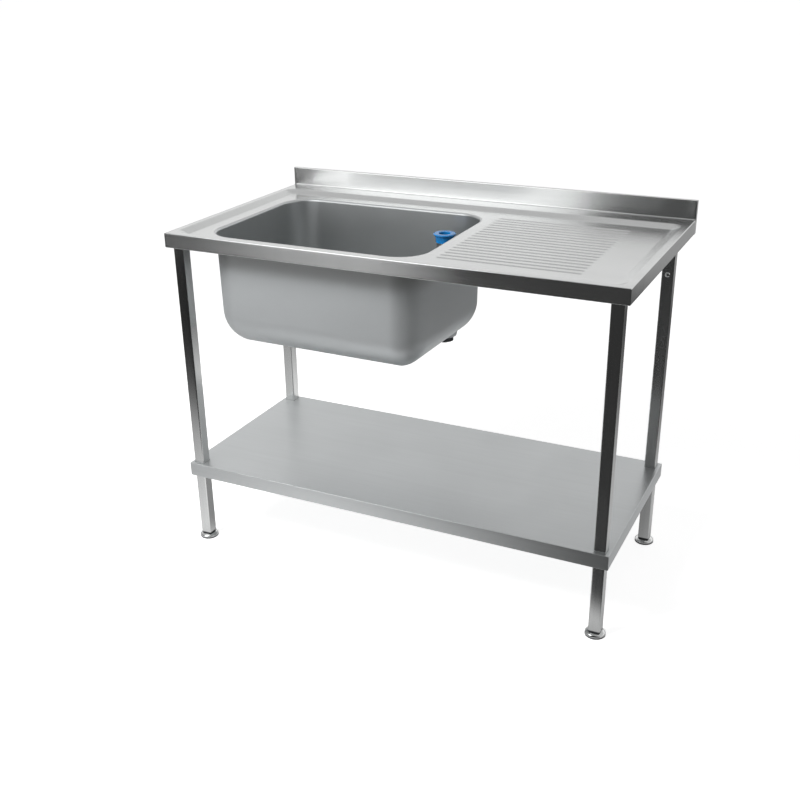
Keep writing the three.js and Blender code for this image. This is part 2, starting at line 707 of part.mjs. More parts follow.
function shelfBracket() {
  const face = LEG / 2 + GAP;
  const top = SHELF_Z - SHELF_SHEET - GAP;
  const line = [[face, top - 32], [face, top], [face + 26, top]];
  const section = foldedSection(offsetLine(line, -2), 2, 1.5);
  const bracket = channel(section, 'y', -14, 14).rotateZ(Math.PI / 2);
  return cut(bracket, rod(SCREW_R + 0.35, 0, LEG, 'y').translate(0, 0, SHELF_SCREW_Z));
}

// ---- undershelf -----------------------------------------------------------------------------------

function undershelf() {
  const legHole = LEG / 2 + 0.6;
  const holes = [];
  for (const x of [-LEG_X, LEG_X]) {
    for (const y of [LEG_FRONT_Y, LEG_REAR_Y]) {
      holes.push(outline([x - legHole, x + legHole], [y - legHole, y + legHole], 2, 0, TUBE_CORNER_STEPS));
    }
  }
  const edge = 2;
  const plan = rectangle([-SHELF_X + edge, SHELF_X - edge], [SHELF_Y[0] + edge, SHELF_Y[1] - edge]);
  const low = SHELF_Z - SHELF_FLANGE;
  const line = [[edge + 4, SHELF_Z], [0, SHELF_Z], [0, low], [SHELF_HEM, low]];
  const faces = foldedFaces(line, SHELF_SHEET, [edge - SHELF_SHEET, 0.8]).map((face) => face.slice(1));
  const corners = rectangle([-SHELF_X, SHELF_X], SHELF_Y).map((point) => [point.x, point.y]);
  const [outer, inner] = faces.map((face) => mitredLoops(corners, face, true));
  return sheetSolid([flatPatch(plan, holes, SHELF_Z, SHELF_SHEET), gridPatch(outer, inner, true)]);
}

// ---- feet -----------------------------------------------------------------------------------------

function footInsert() {
  const rim = LEG_BOTTOM - GAP;
  const half = LEG / 2 - 0.2;
  const plug = LEG / 2 - LEG_WALL - GAP;
  const flange = plate(squareOutline(half, 2.5), [], rim - 2.8, rim);
  const body = plate(squareOutline(plug, 1.5), [], rim - 1, rim + 28);
  return cut(join(flange, body), rod(FOOT_STEM_R + 0.4, 0, LEG * 2, 'z'));
}

// Threaded stem with the wide domed flange that is turned by hand.
function footScrew() {
  const bottom = FOOT_PAD + GAP;
  const dome = [[0.985, 0], [1, 0.22], [0.95, 0.5], [0.8, 0.78], [0.5, 0.98]];
  const height = 9;
  const profile = [[0, bottom], ...dome.map(([r, z]) => [FOOT_R * r, bottom + height * z]),
    [FOOT_STEM_R, bottom + height], [FOOT_STEM_R, FOOT_STEM_TOP - 1], [FOOT_STEM_R - 1, FOOT_STEM_TOP],
    [0, FOOT_STEM_TOP]];
  return turned(profile, false, FOOT_STEPS);
}

function footPad() {
  const profile = [[0, 0], [FOOT_R - 1.2, 0], [FOOT_R, 1], [FOOT_R, FOOT_PAD - 0.8],
    [FOOT_R - 0.6, FOOT_PAD], [0, FOOT_PAD]];
  return turned(profile, false, FOOT_STEPS);
}

// ---- waste and standing overflow ------------------------------------------------------------------

const WASTE_FLANGE_TOP = WASTE_SEAT_Z + 4.6;
const WASTE_CONE_BOTTOM = WASTE_FLANGE_TOP - 16;
const WASTE_CONE_R = 15.7;
const WASTE_TAIL_Z = WASTE_SEAT_Z - 20.5;
const TUBE_BOTTOM = WASTE_FLANGE_TOP + 4.6;

function wasteBody() {
  const under = WASTE_SEAT_Z + 2 + 2 * GAP;
  const profile = [[WASTE_BORE_R, WASTE_TAIL_Z], [WASTE_TAIL_R, WASTE_TAIL_Z], [WASTE_TAIL_R, under],
    [WASTE_FLANGE_R - 1, under], [WASTE_FLANGE_R, under + 0.8], [WASTE_FLANGE_R - 2, WASTE_FLANGE_TOP - 0.4],
    [WASTE_FLANGE_R - 6, WASTE_FLANGE_TOP], [WASTE_CONE_R, WASTE_FLANGE_TOP],
    [WASTE_BORE_R, WASTE_CONE_BOTTOM]];
  return turned(profile, true);
}

function wasteSeal(inner, outer, bottom, top) {
  const soft = 0.5;
  const profile = [[inner, bottom], [outer - soft, bottom], [outer, bottom + soft], [outer, top - soft],
    [outer - soft, top], [inner, top]];
  return turned(profile, true);
}

function upperSeal() {
  return wasteSeal(WASTE_TAIL_R + 0.6, WASTE_FLANGE_R - 3, WASTE_SEAT_Z + GAP, WASTE_SEAT_Z + 2 + GAP);
}

function lowerSeal() {
  const top = WASTE_SEAT_Z - SHEET - GAP;
  return wasteSeal(WASTE_TAIL_R + 0.4, WASTE_TAIL_R + 4, top - 2 - GAP, top);
}

function wasteNut() {
  const top = WASTE_SEAT_Z - SHEET - 2 - 3 * GAP;
  const bottom = top - 12;
  const reach = NUT_FLATS / Math.sqrt(3);
  const barrel = [[0, bottom], [reach - 3.2, bottom], [reach - 0.4, bottom + 1.8], [reach - 0.4, top - 1.8],
    [reach - 3.2, top], [0, top]];
  const blank = common(hexagon(NUT_FLATS, bottom, top), turned(barrel, false));
  const nut = cut(blank, rod(WASTE_TAIL_R + 0.4, bottom - 1, top + 1, 'z'));
  return nut.rotateZ(THREE.MathUtils.degToRad(NUT_TURN));
}

// Tapered rubber foot: cone in the waste's seat, stop flange, and spigot inside the tube.
function standpipePlug() {
  const slope = (WASTE_CONE_R - WASTE_BORE_R) / (WASTE_FLANGE_TOP - WASTE_CONE_BOTTOM);
  const cone = (z) => WASTE_BORE_R - 0.35 + slope * (z - WASTE_CONE_BOTTOM);
  const low = WASTE_CONE_BOTTOM + 2;
  const stop = WASTE_FLANGE_TOP + GAP;
  const spigot = STANDPIPE_R - 1.2 - GAP - 0.1;
  const bore = 10;
  const profile = [[bore, low], [cone(low), low], [cone(stop - GAP), stop - GAP], [cone(stop - GAP), stop],
    [STANDPIPE_R + 1, stop], [STANDPIPE_R + 1, TUBE_BOTTOM - GAP], [spigot, TUBE_BOTTOM - GAP],
    [spigot, TUBE_BOTTOM + 12], [bore, TUBE_BOTTOM + 12]];
  return turned(profile, true);
}

function standpipeTube() {
  const wall = 1.2;
  const top = STANDPIPE_TOP - 10;
  const profile = [[STANDPIPE_R - wall, TUBE_BOTTOM], [STANDPIPE_R, TUBE_BOTTOM], [STANDPIPE_R, top],
    [STANDPIPE_R - wall, top]];
  return turned(profile, true);
}

// Open collar pushed over the tube's end: wide ring, tapered skirt, neck, and a bore that takes overflow.
function standpipeCollar() {
  const top = STANDPIPE_TOP;
  const shoulder = top - 10 + GAP;
  const sleeve = STANDPIPE_R + GAP;
  const profile = [[COLLAR_HOLE_R, top - 1.5], [COLLAR_HOLE_R + 2, top], [COLLAR_R - 3, top],
    [COLLAR_R - 0.8, top - 1], [COLLAR_R, top - 2.6], [COLLAR_R - 0.6, top - 4.4],
    [COLLAR_R - 4.6, top - 5.4], [sleeve + 2, top - 14.5], [sleeve + 1.5, top - 15.5],
    [sleeve + 1.4, top - 24], [sleeve, top - 24], [sleeve, shoulder], [COLLAR_HOLE_R, shoulder]];
  return turned(profile, true);
}

// ---- assembly -------------------------------------------------------------------------------------

const object = new THREE.Group();

function addTo(group, name, geometry, material, position = [0, 0, 0]) {
  const mesh = new THREE.Mesh(geometry, material());
  mesh.name = name;
  mesh.position.set(...position);
  group.add(mesh);
  return mesh;
}

addTo(object, 'sink_top', sinkTop(), brushedSteel);
addTo(object, 'upstand_end_left', upstandEnd(-1), brushedSteel);
addTo(object, 'upstand_end_right', upstandEnd(1), brushedSteel);
addTo(object, 'bowl', bowl(), satinSteel);
addTo(object, 'drainer_channel', drainerChannel(), galvanisedSteel);
addTo(object, 'side_channel_left', sideChannel(-1), galvanisedSteel);
addTo(object, 'side_channel_right', sideChannel(1), galvanisedSteel);
addTo(object, 'undershelf', undershelf(), satinSteel);
addTo(object, 'shelf_channel', shelfChannel(), galvanisedSteel);

const waste = new THREE.Group();
waste.position.set(...WASTE, 0);
object.add(waste);
addTo(waste, 'waste_body', wasteBody(), screwSteel);
addTo(waste, 'waste_seal_upper', upperSeal(), blackRubber);
addTo(waste, 'waste_seal_lower', lowerSeal(), blackRubber);
addTo(waste, 'waste_nut', wasteNut(), legSteel);
addTo(waste, 'standpipe_plug', standpipePlug(), blackRubber);
addTo(waste, 'standpipe_tube', standpipeTube(), screwSteel);
addTo(waste, 'standpipe_collar', standpipeCollar(), bluePlastic);

// A corner's parts share one frame with the leg's inward face at +Y; the rear pair is turned half round.
function addCorner(side, row) {
  const name = `${row < 0 ? 'front' : 'rear'}_${side < 0 ? 'left' : 'right'}`;
  const corner = new THREE.Group();
  corner.position.set(side * LEG_X, row < 0 ? LEG_FRONT_Y : LEG_REAR_Y, 0);
  corner.rotation.z = row < 0 ? 0 : Math.PI;
  object.add(corner);
  addTo(corner, `leg_${name}`, leg(), legSteel);
  addTo(corner, `leg_socket_${name}`, legSocket(), galvanisedSteel);
  addTo(corner, `leg_screw_${name}`, domedScrew(), screwSteel, [0, LEG / 2 + GAP, LEG_SCREW_Z]);
  addTo(corner, `shelf_bracket_${name}`, shelfBracket(), galvanisedSteel);
  addTo(corner, `shelf_screw_${name}`, domedScrew(), screwSteel, [0, LEG / 2 + 2 + 2 * GAP, SHELF_SCREW_Z]);
  addTo(corner, `foot_insert_${name}`, footInsert(), greyPlastic);
  addTo(corner, `foot_screw_${name}`, footScrew(), legSteel);
  addTo(corner, `foot_pad_${name}`, footPad(), greyPlastic);
}

for (const row of [-1, 1]) {
  for (const side of [-1, 1]) addCorner(side, row);
}

export default object;
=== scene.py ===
"""Catering sink unit with a deep bowl and a ribbed drainer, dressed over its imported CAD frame."""
import math

import bmesh
import bpy
import numpy as np
from mathutils import Matrix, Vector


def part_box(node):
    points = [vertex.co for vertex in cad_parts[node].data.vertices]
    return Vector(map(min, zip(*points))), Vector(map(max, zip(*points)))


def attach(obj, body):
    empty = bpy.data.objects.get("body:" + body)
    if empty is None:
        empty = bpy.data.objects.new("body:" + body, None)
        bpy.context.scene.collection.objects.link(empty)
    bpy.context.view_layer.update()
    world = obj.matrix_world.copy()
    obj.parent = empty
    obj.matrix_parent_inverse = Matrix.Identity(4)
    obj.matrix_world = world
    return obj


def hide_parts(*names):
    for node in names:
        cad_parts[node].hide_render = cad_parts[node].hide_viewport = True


bl_info = {
    "name": "Catering Sink Unit",
    "version": (1, 0, 0),
    "blender": (4, 5, 0),
    "location": "3D View > Sidebar > Sink Unit",
    "description": "Builds a catering sink unit: pressed worktop, drawn bowl, legs, shelf, feet and waste",
    "category": "Add Mesh",
}

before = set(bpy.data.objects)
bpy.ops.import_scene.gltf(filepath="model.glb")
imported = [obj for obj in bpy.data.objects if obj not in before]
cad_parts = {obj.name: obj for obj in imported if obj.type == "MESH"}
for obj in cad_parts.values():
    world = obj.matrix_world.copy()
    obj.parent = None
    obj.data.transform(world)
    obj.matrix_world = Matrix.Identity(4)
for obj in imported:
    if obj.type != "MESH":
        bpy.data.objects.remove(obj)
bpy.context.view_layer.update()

CORNERS = ("front_left", "front_right", "rear_left", "rear_right")
MM = 0.001
QUARTER = math.pi / 2

# Worktop, all in millimetres, Z up from the floor and X along the front.
SIDE, FRONT, REAR = 600.0, -330.0, 330.0
RIM_Z, DECK_Z, APRON_Z = 890.0, 880.0, 852.0
RECESS_X, RECESS_Y, RECESS_CORNER = (-582.0, 582.0), (-312.0, 256.0), 32.0
RECESS_SLOPE, RECESS_BEND = 26.0, 2.6
UPSTAND_FACE, UPSTAND_TOP, UPSTAND_COVE, UPSTAND_FOLD = 316.0, 940.0, 3.0, 2.2
COVE_START = UPSTAND_FACE - UPSTAND_COVE
SHEET_END, PLATE_INSIDE = SIDE - 1.25, SIDE - 1.2
# Drainer ribs: their length, first line, spacing and number, and a groove's half width and flank.
RIB_X, RIB_FIRST, RIB_PITCH, RIB_COUNT = (112.0, 468.0), -235.0, 24.1, 18
GROOVE_HALF, GROOVE_FLANK, GROOVE_END, GROOVE_TAPER = 7.0, 4.9, 11.0, 0.62
# Bowl: outline, lip, depth, the fall of its bottom along X and Y, and the dish round the waste.
BOWL_X, BOWL_Y, BOWL_CORNER = (-522.0, 81.0), (-273.0, 195.0), 80.0
BOWL_MIDDLE = ((BOWL_X[0] + BOWL_X[1]) / 2, (BOWL_Y[0] + BOWL_Y[1]) / 2)
LIP_OUT, LIP_RADIUS, WALL_INSET, OPENING_OUT = 1.8, 6.0, 4.2, 1.86
BOWL_FLOOR, BOWL_FILLET, FILLET_INSET = 572.0, 93.0, 7.126
FALL_X, FALL_Y = 0.008, 0.028
WASTE = (-11.0, 103.0)
DISH_RADIUS, DISH_FLANK, DISH_DEPTH, WASTE_HOLE = 36.0, 3.0, 4.5, 18.0
# Stand.
LEG_X, LEG_FRONT, LEG_REAR = 570.0, -301.0, 185.0
LEG_HALF, LEG_CORNER, LEG_WALL, LEG_EDGE, LEG_LOW, LEG_HIGH = 15.0, 3.0, 1.5, 0.25, 17.0, 854.4
SHELF_X, SHELF_Y, SHELF_Z = 595.0, (-325.0, 209.0), 238.0
SHELF_HOLE, SHELF_FOLD, SHELF_DROP, SHELF_HEM = 15.6, 2.0, 38.0, 8.0


def leg_place(corner):
    """Plan centre of a leg."""
    x = -LEG_X if "left" in corner else LEG_X
    return x, LEG_FRONT if "front" in corner else LEG_REAR


# ---- sizes and colours that a user would change ----

class SheetSettings(bpy.types.PropertyGroup):
    sheet_thickness: bpy.props.FloatProperty(
        name="Sheet thickness", description="Thickness of the worktop and bowl sheet",
        default=1.2 * MM, min=0.5 * MM, max=3 * MM, unit="LENGTH")
    rib_depth: bpy.props.FloatProperty(
        name="Groove depth", description="Depth of the drainer's pressed grooves",
        default=1.8 * MM, min=0.0, max=4 * MM, unit="LENGTH")
    fold_radius: bpy.props.FloatProperty(
        name="Fold radius", description="Outer radius of the fold between worktop and apron",
        default=2.6 * MM, min=1.5 * MM, max=5 * MM, unit="LENGTH")
    bowl_steps: bpy.props.IntProperty(
        name="Bowl steps", description="Rows in the rounded bottom edge of the bowl",
        default=26, min=8, max=48)


class FinishSettings(bpy.types.PropertyGroup):
    steel: bpy.props.FloatVectorProperty(
        name="Steel", description="Colour of the brushed worktop steel",
        default=(0.7, 0.708, 0.706), min=0, max=1, size=3, subtype="COLOR")
    steel_roughness: bpy.props.FloatProperty(
        name="Steel roughness", description="Sheen of the brushed steel",
        default=0.22, min=0.05, max=0.9, subtype="FACTOR")
    satin_roughness: bpy.props.FloatProperty(
        name="Satin roughness", description="Sheen of the drawn bowl and the shelf",
        default=0.4, min=0.05, max=0.9, subtype="FACTOR")
    collar: bpy.props.FloatVectorProperty(
        name="Collar", description="Colour of the standpipe's plastic collar",
        default=(0.006, 0.2, 0.54), min=0, max=1, size=3, subtype="COLOR")
    moulded: bpy.props.FloatVectorProperty(
        name="Moulded black", description="Colour of the waste nut",
        default=(0.045, 0.047, 0.05), min=0, max=1, size=3, subtype="COLOR")


class StageSettings(bpy.types.PropertyGroup):
    lens: bpy.props.FloatProperty(
        name="Lens", description="Focal length in millimetres on a 36 mm sensor",
        default=47.5124, min=20, max=200)
    floor: bpy.props.FloatVectorProperty(
        name="Floor", description="Colour of the floor",
        default=(0.62, 0.62, 0.62), min=0, max=1, size=3, subtype="COLOR")
    ambient: bpy.props.FloatProperty(
        name="Ambient", description="Strength of the plain light from all round", default=0.3, min=0, max=2)
    key_power: bpy.props.FloatProperty(
        name="Key power", description="Power of the soft lamp in front, up on the left",
        default=98.0, min=0, max=500, unit="POWER")
    soft_box: bpy.props.FloatProperty(
        name="Soft box", description="Brightness of the upright soft box that the steel shows",
        default=1.98, min=0, max=6)


# ---- mesh making ----

def linked(name, data):
    """A new object in the scene."""
    item = bpy.data.objects.new(name, data)
    bpy.context.scene.collection.objects.link(item)
    return item


def mesh_object(name, points, faces, uv=None, sharp=32.0, weld=True):
    """A smooth mesh object at the origin from points in millimetres. Doubles are merged, and edges that turn
    more than `sharp` degrees are creased."""
    mesh = bpy.data.meshes.new(name)
    mesh.from_pydata((np.asarray(points, float).reshape(-1, 3) * MM).tolist(), [], faces)
    if uv is not None:
        layer = mesh.uv_layers.new(name="UVMap")
        loops = np.empty(len(mesh.loops), np.int32)
        mesh.loops.foreach_get("vertex_index", loops)
        flat = (np.asarray(uv, float).reshape(-1, 2) * MM)[loops]
        layer.data.foreach_set("uv", flat.ravel().astype(np.float32))
    if weld:
        same_place, no_length = 2e-6, 1e-7
        work = bmesh.new()
        work.from_mesh(mesh)
        bmesh.ops.remove_doubles(work, verts=work.verts, dist=same_place)
        bmesh.ops.dissolve_degenerate(work, edges=work.edges, dist=no_length)
        work.to_mesh(mesh)
        work.free()
    mesh.validate()
    mesh.shade_smooth()
    mesh.set_sharp_from_angle(angle=math.radians(sharp))
    return linked(name, mesh)


def flat_piece(name, points):
    """One flat face through a loop of points."""
    return mesh_object(name, points, [list(range(len(points)))], weld=False)


def board(name, reach, z):
    """A level square that reaches as far each way."""
    return flat_piece(name, [[-reach, -reach, z], [reach, -reach, z], [reach, reach, z], [-reach, reach, z]])


def grid_faces(rows, columns, closed_rows=False, closed_columns=False, flip=False):
    """Quads of a rows by columns grid of points, as an array of corner numbers."""
    i = np.arange(rows if closed_rows else rows - 1)
    j = np.arange(columns if closed_columns else columns - 1)
    i, j = np.meshgrid(i, j, indexing="ij")
    down, right = (i + 1) % rows, (j + 1) % columns
    quads = np.stack([i * columns + j, down * columns + j, down * columns + right, i * columns + right], -1)
    quads = quads.reshape(-1, 4)
    return quads[:, ::-1] if flip else quads


def surface(name, grid, closed_rows=False, closed_columns=False, flip=False, **options):
    """One grid of points (rows, columns, 3) as a piece. Closed ways join the last line to the first."""
    faces = grid_faces(*grid.shape[:2], closed_rows, closed_columns, flip)
    return mesh_object(name, grid, faces.tolist(), **options)


def directions(angle):
    """Plan directions at angles from X."""
    return np.stack([np.cos(angle), np.sin(angle)], -1)


def whole_turn(steps):
    """Angles evenly round a turn."""
    return np.linspace(0, 2 * math.pi, steps, endpoint=False)


def softened(line, radius, steps=5, closed=False):
    """A line of [across, up] points whose corners are rounded to an arc of the radius: each corner is replaced
    by the arc that touches its two sides, cut back where a side is too short."""
    line = np.asarray(line, float)
    radii = np.full(len(line), radius) if np.isscalar(radius) else np.asarray(radius, float)
    longest, straight = 0.48, math.radians(89)
    done = []
    for k, point in enumerate(line):
        if not closed and k in (0, len(line) - 1) or radii[k] <= 0:
            done.append(point)
            continue
        before, after = line[k - 1] - point, line[(k + 1) % len(line)] - point
        lengths = np.linalg.norm(before), np.linalg.norm(after)
        before, after = before / lengths[0], after / lengths[1]
        half = math.acos(np.clip(before @ after, -1, 1)) / 2
        if half > straight:
            done.append(point)
            continue
        reach = min(radii[k] / math.tan(half), longest * lengths[0], longest * lengths[1])
        r = reach * math.tan(half)
        middle = point + (before + after) / np.linalg.norm(before + after) * (r / math.sin(half))
        start, end = point + before * reach - middle, point + after * reach - middle
        turn = np.linspace(0, 1, steps)[:, None]
        span = math.pi - 2 * half
        arc = (np.sin((1 - turn) * span) * start + np.sin(turn * span) * end) / math.sin(span)
        done.extend(middle + arc)
    return np.array(done)


def rings(rows, angle, centre=(0.0, 0.0)):
    """Grid of rings about a vertical axis: each row's radius, or radii, carried over the angles at its z."""
    return np.array([np.stack([centre[0] + r * np.cos(angle), centre[1] + r * np.sin(angle),
                               np.full(len(angle), z)], -1) for r, z in rows])


def round_piece(name, rows, centre, steps, **options):
    """A piece from rings of (radius or radii, z) about a vertical axis, from its bottom up and closed."""
    return surface(name, rings(rows, whole_turn(steps), centre), closed_columns=True, flip=True, **options)


def turned(name, profile, centre, steps, closed=True, **options):
    """A turned piece: the [radius, z] profile is carried once round a vertical axis. The profile runs with the
    material on its left as radius and z are drawn, so the faces look outwards."""
    grid = rings(profile, whole_turn(steps), centre).swapaxes(0, 1)
    return surface(name, grid, closed_rows=True, closed_columns=closed, **options)


def square_loop(half, corner, steps=7):
    """Plan outline of a square with round corners, anticlockwise, as points and outward directions."""
    way = directions(np.concatenate([np.linspace(0, QUARTER, steps) + k * QUARTER for k in range(4)]))
    signs = np.array([[1, 1], [-1, 1], [-1, -1], [1, -1]])[np.repeat(np.arange(4), steps)]
    return signs * (half - corner) + way * corner, way


def spread(*spans):
    """Grid lines from spans of (end, count), each evenly divided; the first is a plain start value."""
    lines = [spans[0]]
    for end, count in spans[1:]:
        lines.extend(np.linspace(lines[-1], end, count + 1)[1:])
    return np.array(lines)


def rounded_distance(x, y, span_x, span_y, radius):
    """How far a plan point lies inside a rectangle with round corners; negative outside."""
    ax = np.abs(x - sum(span_x) / 2) - ((span_x[1] - span_x[0]) / 2 - radius)
    ay = np.abs(y - sum(span_y) / 2) - ((span_y[1] - span_y[0]) / 2 - radius)
    return radius - np.hypot(np.maximum(ax, 0), np.maximum(ay, 0)) - np.minimum(np.maximum(ax, ay), 0)


def smooth(t):
    """Soft step from 0 to 1."""
    t = np.clip(t, 0, 1)
    return t * t * (3 - 2 * t)


def along(line):
    """Length from a line's start to each of its points."""
    return np.concatenate([[0], np.cumsum(np.linalg.norm(np.diff(line, axis=0), axis=1))])


def thicken(piece, thickness):
    """Adds sheet thickness behind the shown face and gives the piece back."""
    wall = piece.modifiers.new("Sheet", "SOLIDIFY")
    wall.thickness = thickness
    wall.offset = -1
    wall.use_even_offset = True
    return piece


def folded_sheet(name, parts, thickness):
    """A sheet from parts. Each is a grid of points, its UV places and arrays of faces that count from its first
    point."""
    points, maps, faces, start = [], [], [], 0
    for grid, uv, *blocks in parts:
        for block in blocks:
            faces += (block + start).tolist()
        points.append(grid.reshape(-1, 3))
        maps.append(uv.reshape(-1, 2))
        start += len(points[-1])
    piece = mesh_object(name, np.concatenate(points), faces, uv=np.concatenate(maps), sharp=40)
    return thicken(piece, thickness)


# ---- worktop ----

def step_drop(inset):
    """Drop of the recess's sloped step: none outside, a straight slope, then the whole depth, with both bends
    drawn as short parabolas."""
    depth, bend = RIM_Z - DECK_Z, RECESS_BEND
    slope = depth / RECESS_SLOPE
    upper = slope * (inset + bend) ** 2 / (4 * bend)
    lower = depth - slope * (RECESS_SLOPE + bend - inset) ** 2 / (4 * bend)
    drop = np.where(inset < bend, upper, np.where(inset < RECESS_SLOPE - bend, slope * inset, lower))
    return np.where(inset < -bend, 0, np.where(inset > RECESS_SLOPE + bend, depth, drop))


def groove_drop(x, y, depth):
    """Drop of the drainer's grooves: a long slot with round ends at every pitch, its flanks a soft step."""
    nearest = np.clip(np.round((y - RIB_FIRST) / RIB_PITCH), 0, RIB_COUNT - 1)
    across = y - RIB_FIRST - nearest * RIB_PITCH
    beyond = np.maximum(np.abs(x - sum(RIB_X) / 2) - ((RIB_X[1] - RIB_X[0]) / 2 - GROOVE_END), 0)
    away = np.hypot(across, beyond * GROOVE_TAPER)
    return depth * smooth((GROOVE_HALF - away) / GROOVE_FLANK)


def cut_to_outline(x, y, outside):
    """Slides grid points along their own grid lines on to an outline, where `outside` changes sign, and returns
    the new points, and each point's side of the outline: 1 outside, 0 on it and -1 inside."""
    halvings = 24
    start_x, start_y = x, y
    side = np.sign(outside(x, y))
    best = np.full(x.shape, np.inf)
    for shift in ((-1, 0), (1, 0), (0, -1), (0, 1)):
        near_x, near_y, near_side = (np.roll(values, shift, (0, 1)) for values in (start_x, start_y, side))
        crossing = side * near_side < 0
        low, high = np.zeros(x.shape), np.ones(x.shape)
        for _ in range(halvings):
            middle = (low + high) / 2
            there = outside(start_x + (near_x - start_x) * middle, start_y + (near_y - start_y) * middle)
            same = side * there > 0
            low, high = np.where(same, middle, low), np.where(same, high, middle)
        length = low * np.hypot(near_x - start_x, near_y - start_y)
        take = crossing & (low <= 0.5) & (length < best)
        best = np.where(take, length, best)
        x = np.where(take, start_x + (near_x - start_x) * low, x)
        y = np.where(take, start_y + (near_y - start_y) * low, y)
    return x, y, np.where(np.isfinite(best), 0, side)


def faces_outside(side, x, y, outside):
    """Quads of a cut grid that lie outside the outline and, apart, triangles where the outline crosses one."""
    quads = grid_faces(*side.shape)
    marks = side.ravel()[quads]
    middle = outside(x.ravel()[quads].mean(1), y.ravel()[quads].mean(1)) > 0
    crossed = quads[(marks.min(1) < 0) & (marks.max(1) > 0)]
    top = side.ravel()[crossed].argmax(1)
    pick = np.stack([(top - 1) % 4, top, (top + 1) % 4], 1)
    return quads[(marks.min(1) >= 0) & middle], np.take_along_axis(crossed, pick, 1)


def fold_profile(radius, drop, hem, hem_radius=2.0):
    """Section of a folded edge as outset, height below the top and length along the sheet: a quarter arc over
    the edge, the plain apron, a smaller arc and the hem that runs back inwards."""
    over, under = np.linspace(0, QUARTER, 7), np.linspace(0, QUARTER, 6)
    outset = [*(radius * np.sin(over)), *(radius - hem_radius * (1 - np.cos(under))), radius - hem]
    fall = [*(radius * (1 - np.cos(over))), *(drop - hem_radius + hem_radius * np.sin(under)), drop]
    return np.array(outset), np.array(fall), along(np.stack([outset, fall], 1))


def edge_strip(stations, reach, profile, top):
    """A folded edge carried along stations of a sheet's border, with its UV places. The hem is mitred by keeping
    each of its points inside the corner's bisector, `reach` being the border's (x, front y, rear y)."""
    base, way = (np.concatenate(kind) for kind in zip(*stations))
    outset, fall, length = profile
    plan = base[:, None] + way[:, None] * outset[None, :, None]
    back = np.minimum(outset, 0)[None, :]
    inside = back < 0
    x_limit, front, rear = reach
    plan[..., 0] = np.where(inside, np.clip(plan[..., 0], -x_limit - back, x_limit + back), plan[..., 0])
    plan[..., 1] = np.where(inside, np.clip(plan[..., 1], front - back, rear + back), plan[..., 1])
    height = np.broadcast_to(top - fall, plan.shape[:2])
    uv = base[:, None] + way[:, None] * length[None, :, None]
    return np.concatenate([plan, height[..., None]], -1), uv


def corner_fan(x, y, quarter, steps=7):
    """Stations that turn a folded edge round a corner of the sheet: one place, and outward directions over 90
    degrees."""
    return np.tile([x, y], (steps, 1)), directions((quarter + np.linspace(0, 1, steps)) * QUARTER)


def straight_side(x, y, way):
    """Stations along a straight border: their places and its outward direction."""
    base = np.stack(np.broadcast_arrays(np.asarray(x, float), np.asarray(y, float)), -1)
    return base, np.tile(np.asarray(way, float), (len(base), 1))


def front_stations(lines_x, lines_y, reach, front):
    """Stations down the left side, along the front and back up the right side."""
    return (straight_side(-reach, lines_y[::-1], (-1, 0)), corner_fan(-reach, front, 2),
            straight_side(lines_x, front, (0, -1)), corner_fan(reach, front, 3),
            straight_side(reach, lines_y, (1, 0)))


def worktop_lines(edge):
    """Grid lines of the worktop along X and along Y: close in the step's bends and across the ribs."""
    reach = SIDE - edge
    x = spread(-reach, (-585, 3), (-578, 6), (-561, 3), (-552, 7), (-530, 3), (-500, 6), (-40, 46), (90, 16),
               (104, 2), (134, 13), (446, 20), (476, 13), (552, 6), (561, 7), (578, 3), (585, 6), (reach, 3))
    first = RIB_FIRST - RIB_PITCH / 2
    shares = np.array([0, 0.11, 0.2, 0.245, 0.29, 0.335, 0.38, 0.5, 0.62, 0.665, 0.71, 0.755, 0.8, 0.89])
    ribs = (first + (np.arange(RIB_COUNT)[:, None] + shares) * RIB_PITCH).ravel()
    front = spread(FRONT + edge, (-315, 3), (-308, 6), (-291, 3), (-282, 7), (first, 5))[:-1]
    rear = spread(first + RIB_COUNT * RIB_PITCH, (226, 6), (235, 7), (252, 3), (259, 6), (COVE_START, 9))
    return x, np.concatenate([front, ribs, rear])


def upstand_line():
    """Section of the rear upstand after the worktop's last grid line, as [y, z]."""
    before, back_hem = 12, 10
    corners = [[UPSTAND_FACE - before, RIM_Z], [UPSTAND_FACE, RIM_Z], [UPSTAND_FACE, UPSTAND_TOP],
               [REAR, UPSTAND_TOP], [REAR, APRON_Z], [REAR - back_hem, APRON_Z]]
    return softened(corners, [0, UPSTAND_COVE, UPSTAND_FOLD, UPSTAND_FOLD, 2.0, 0], steps=7)[1:]


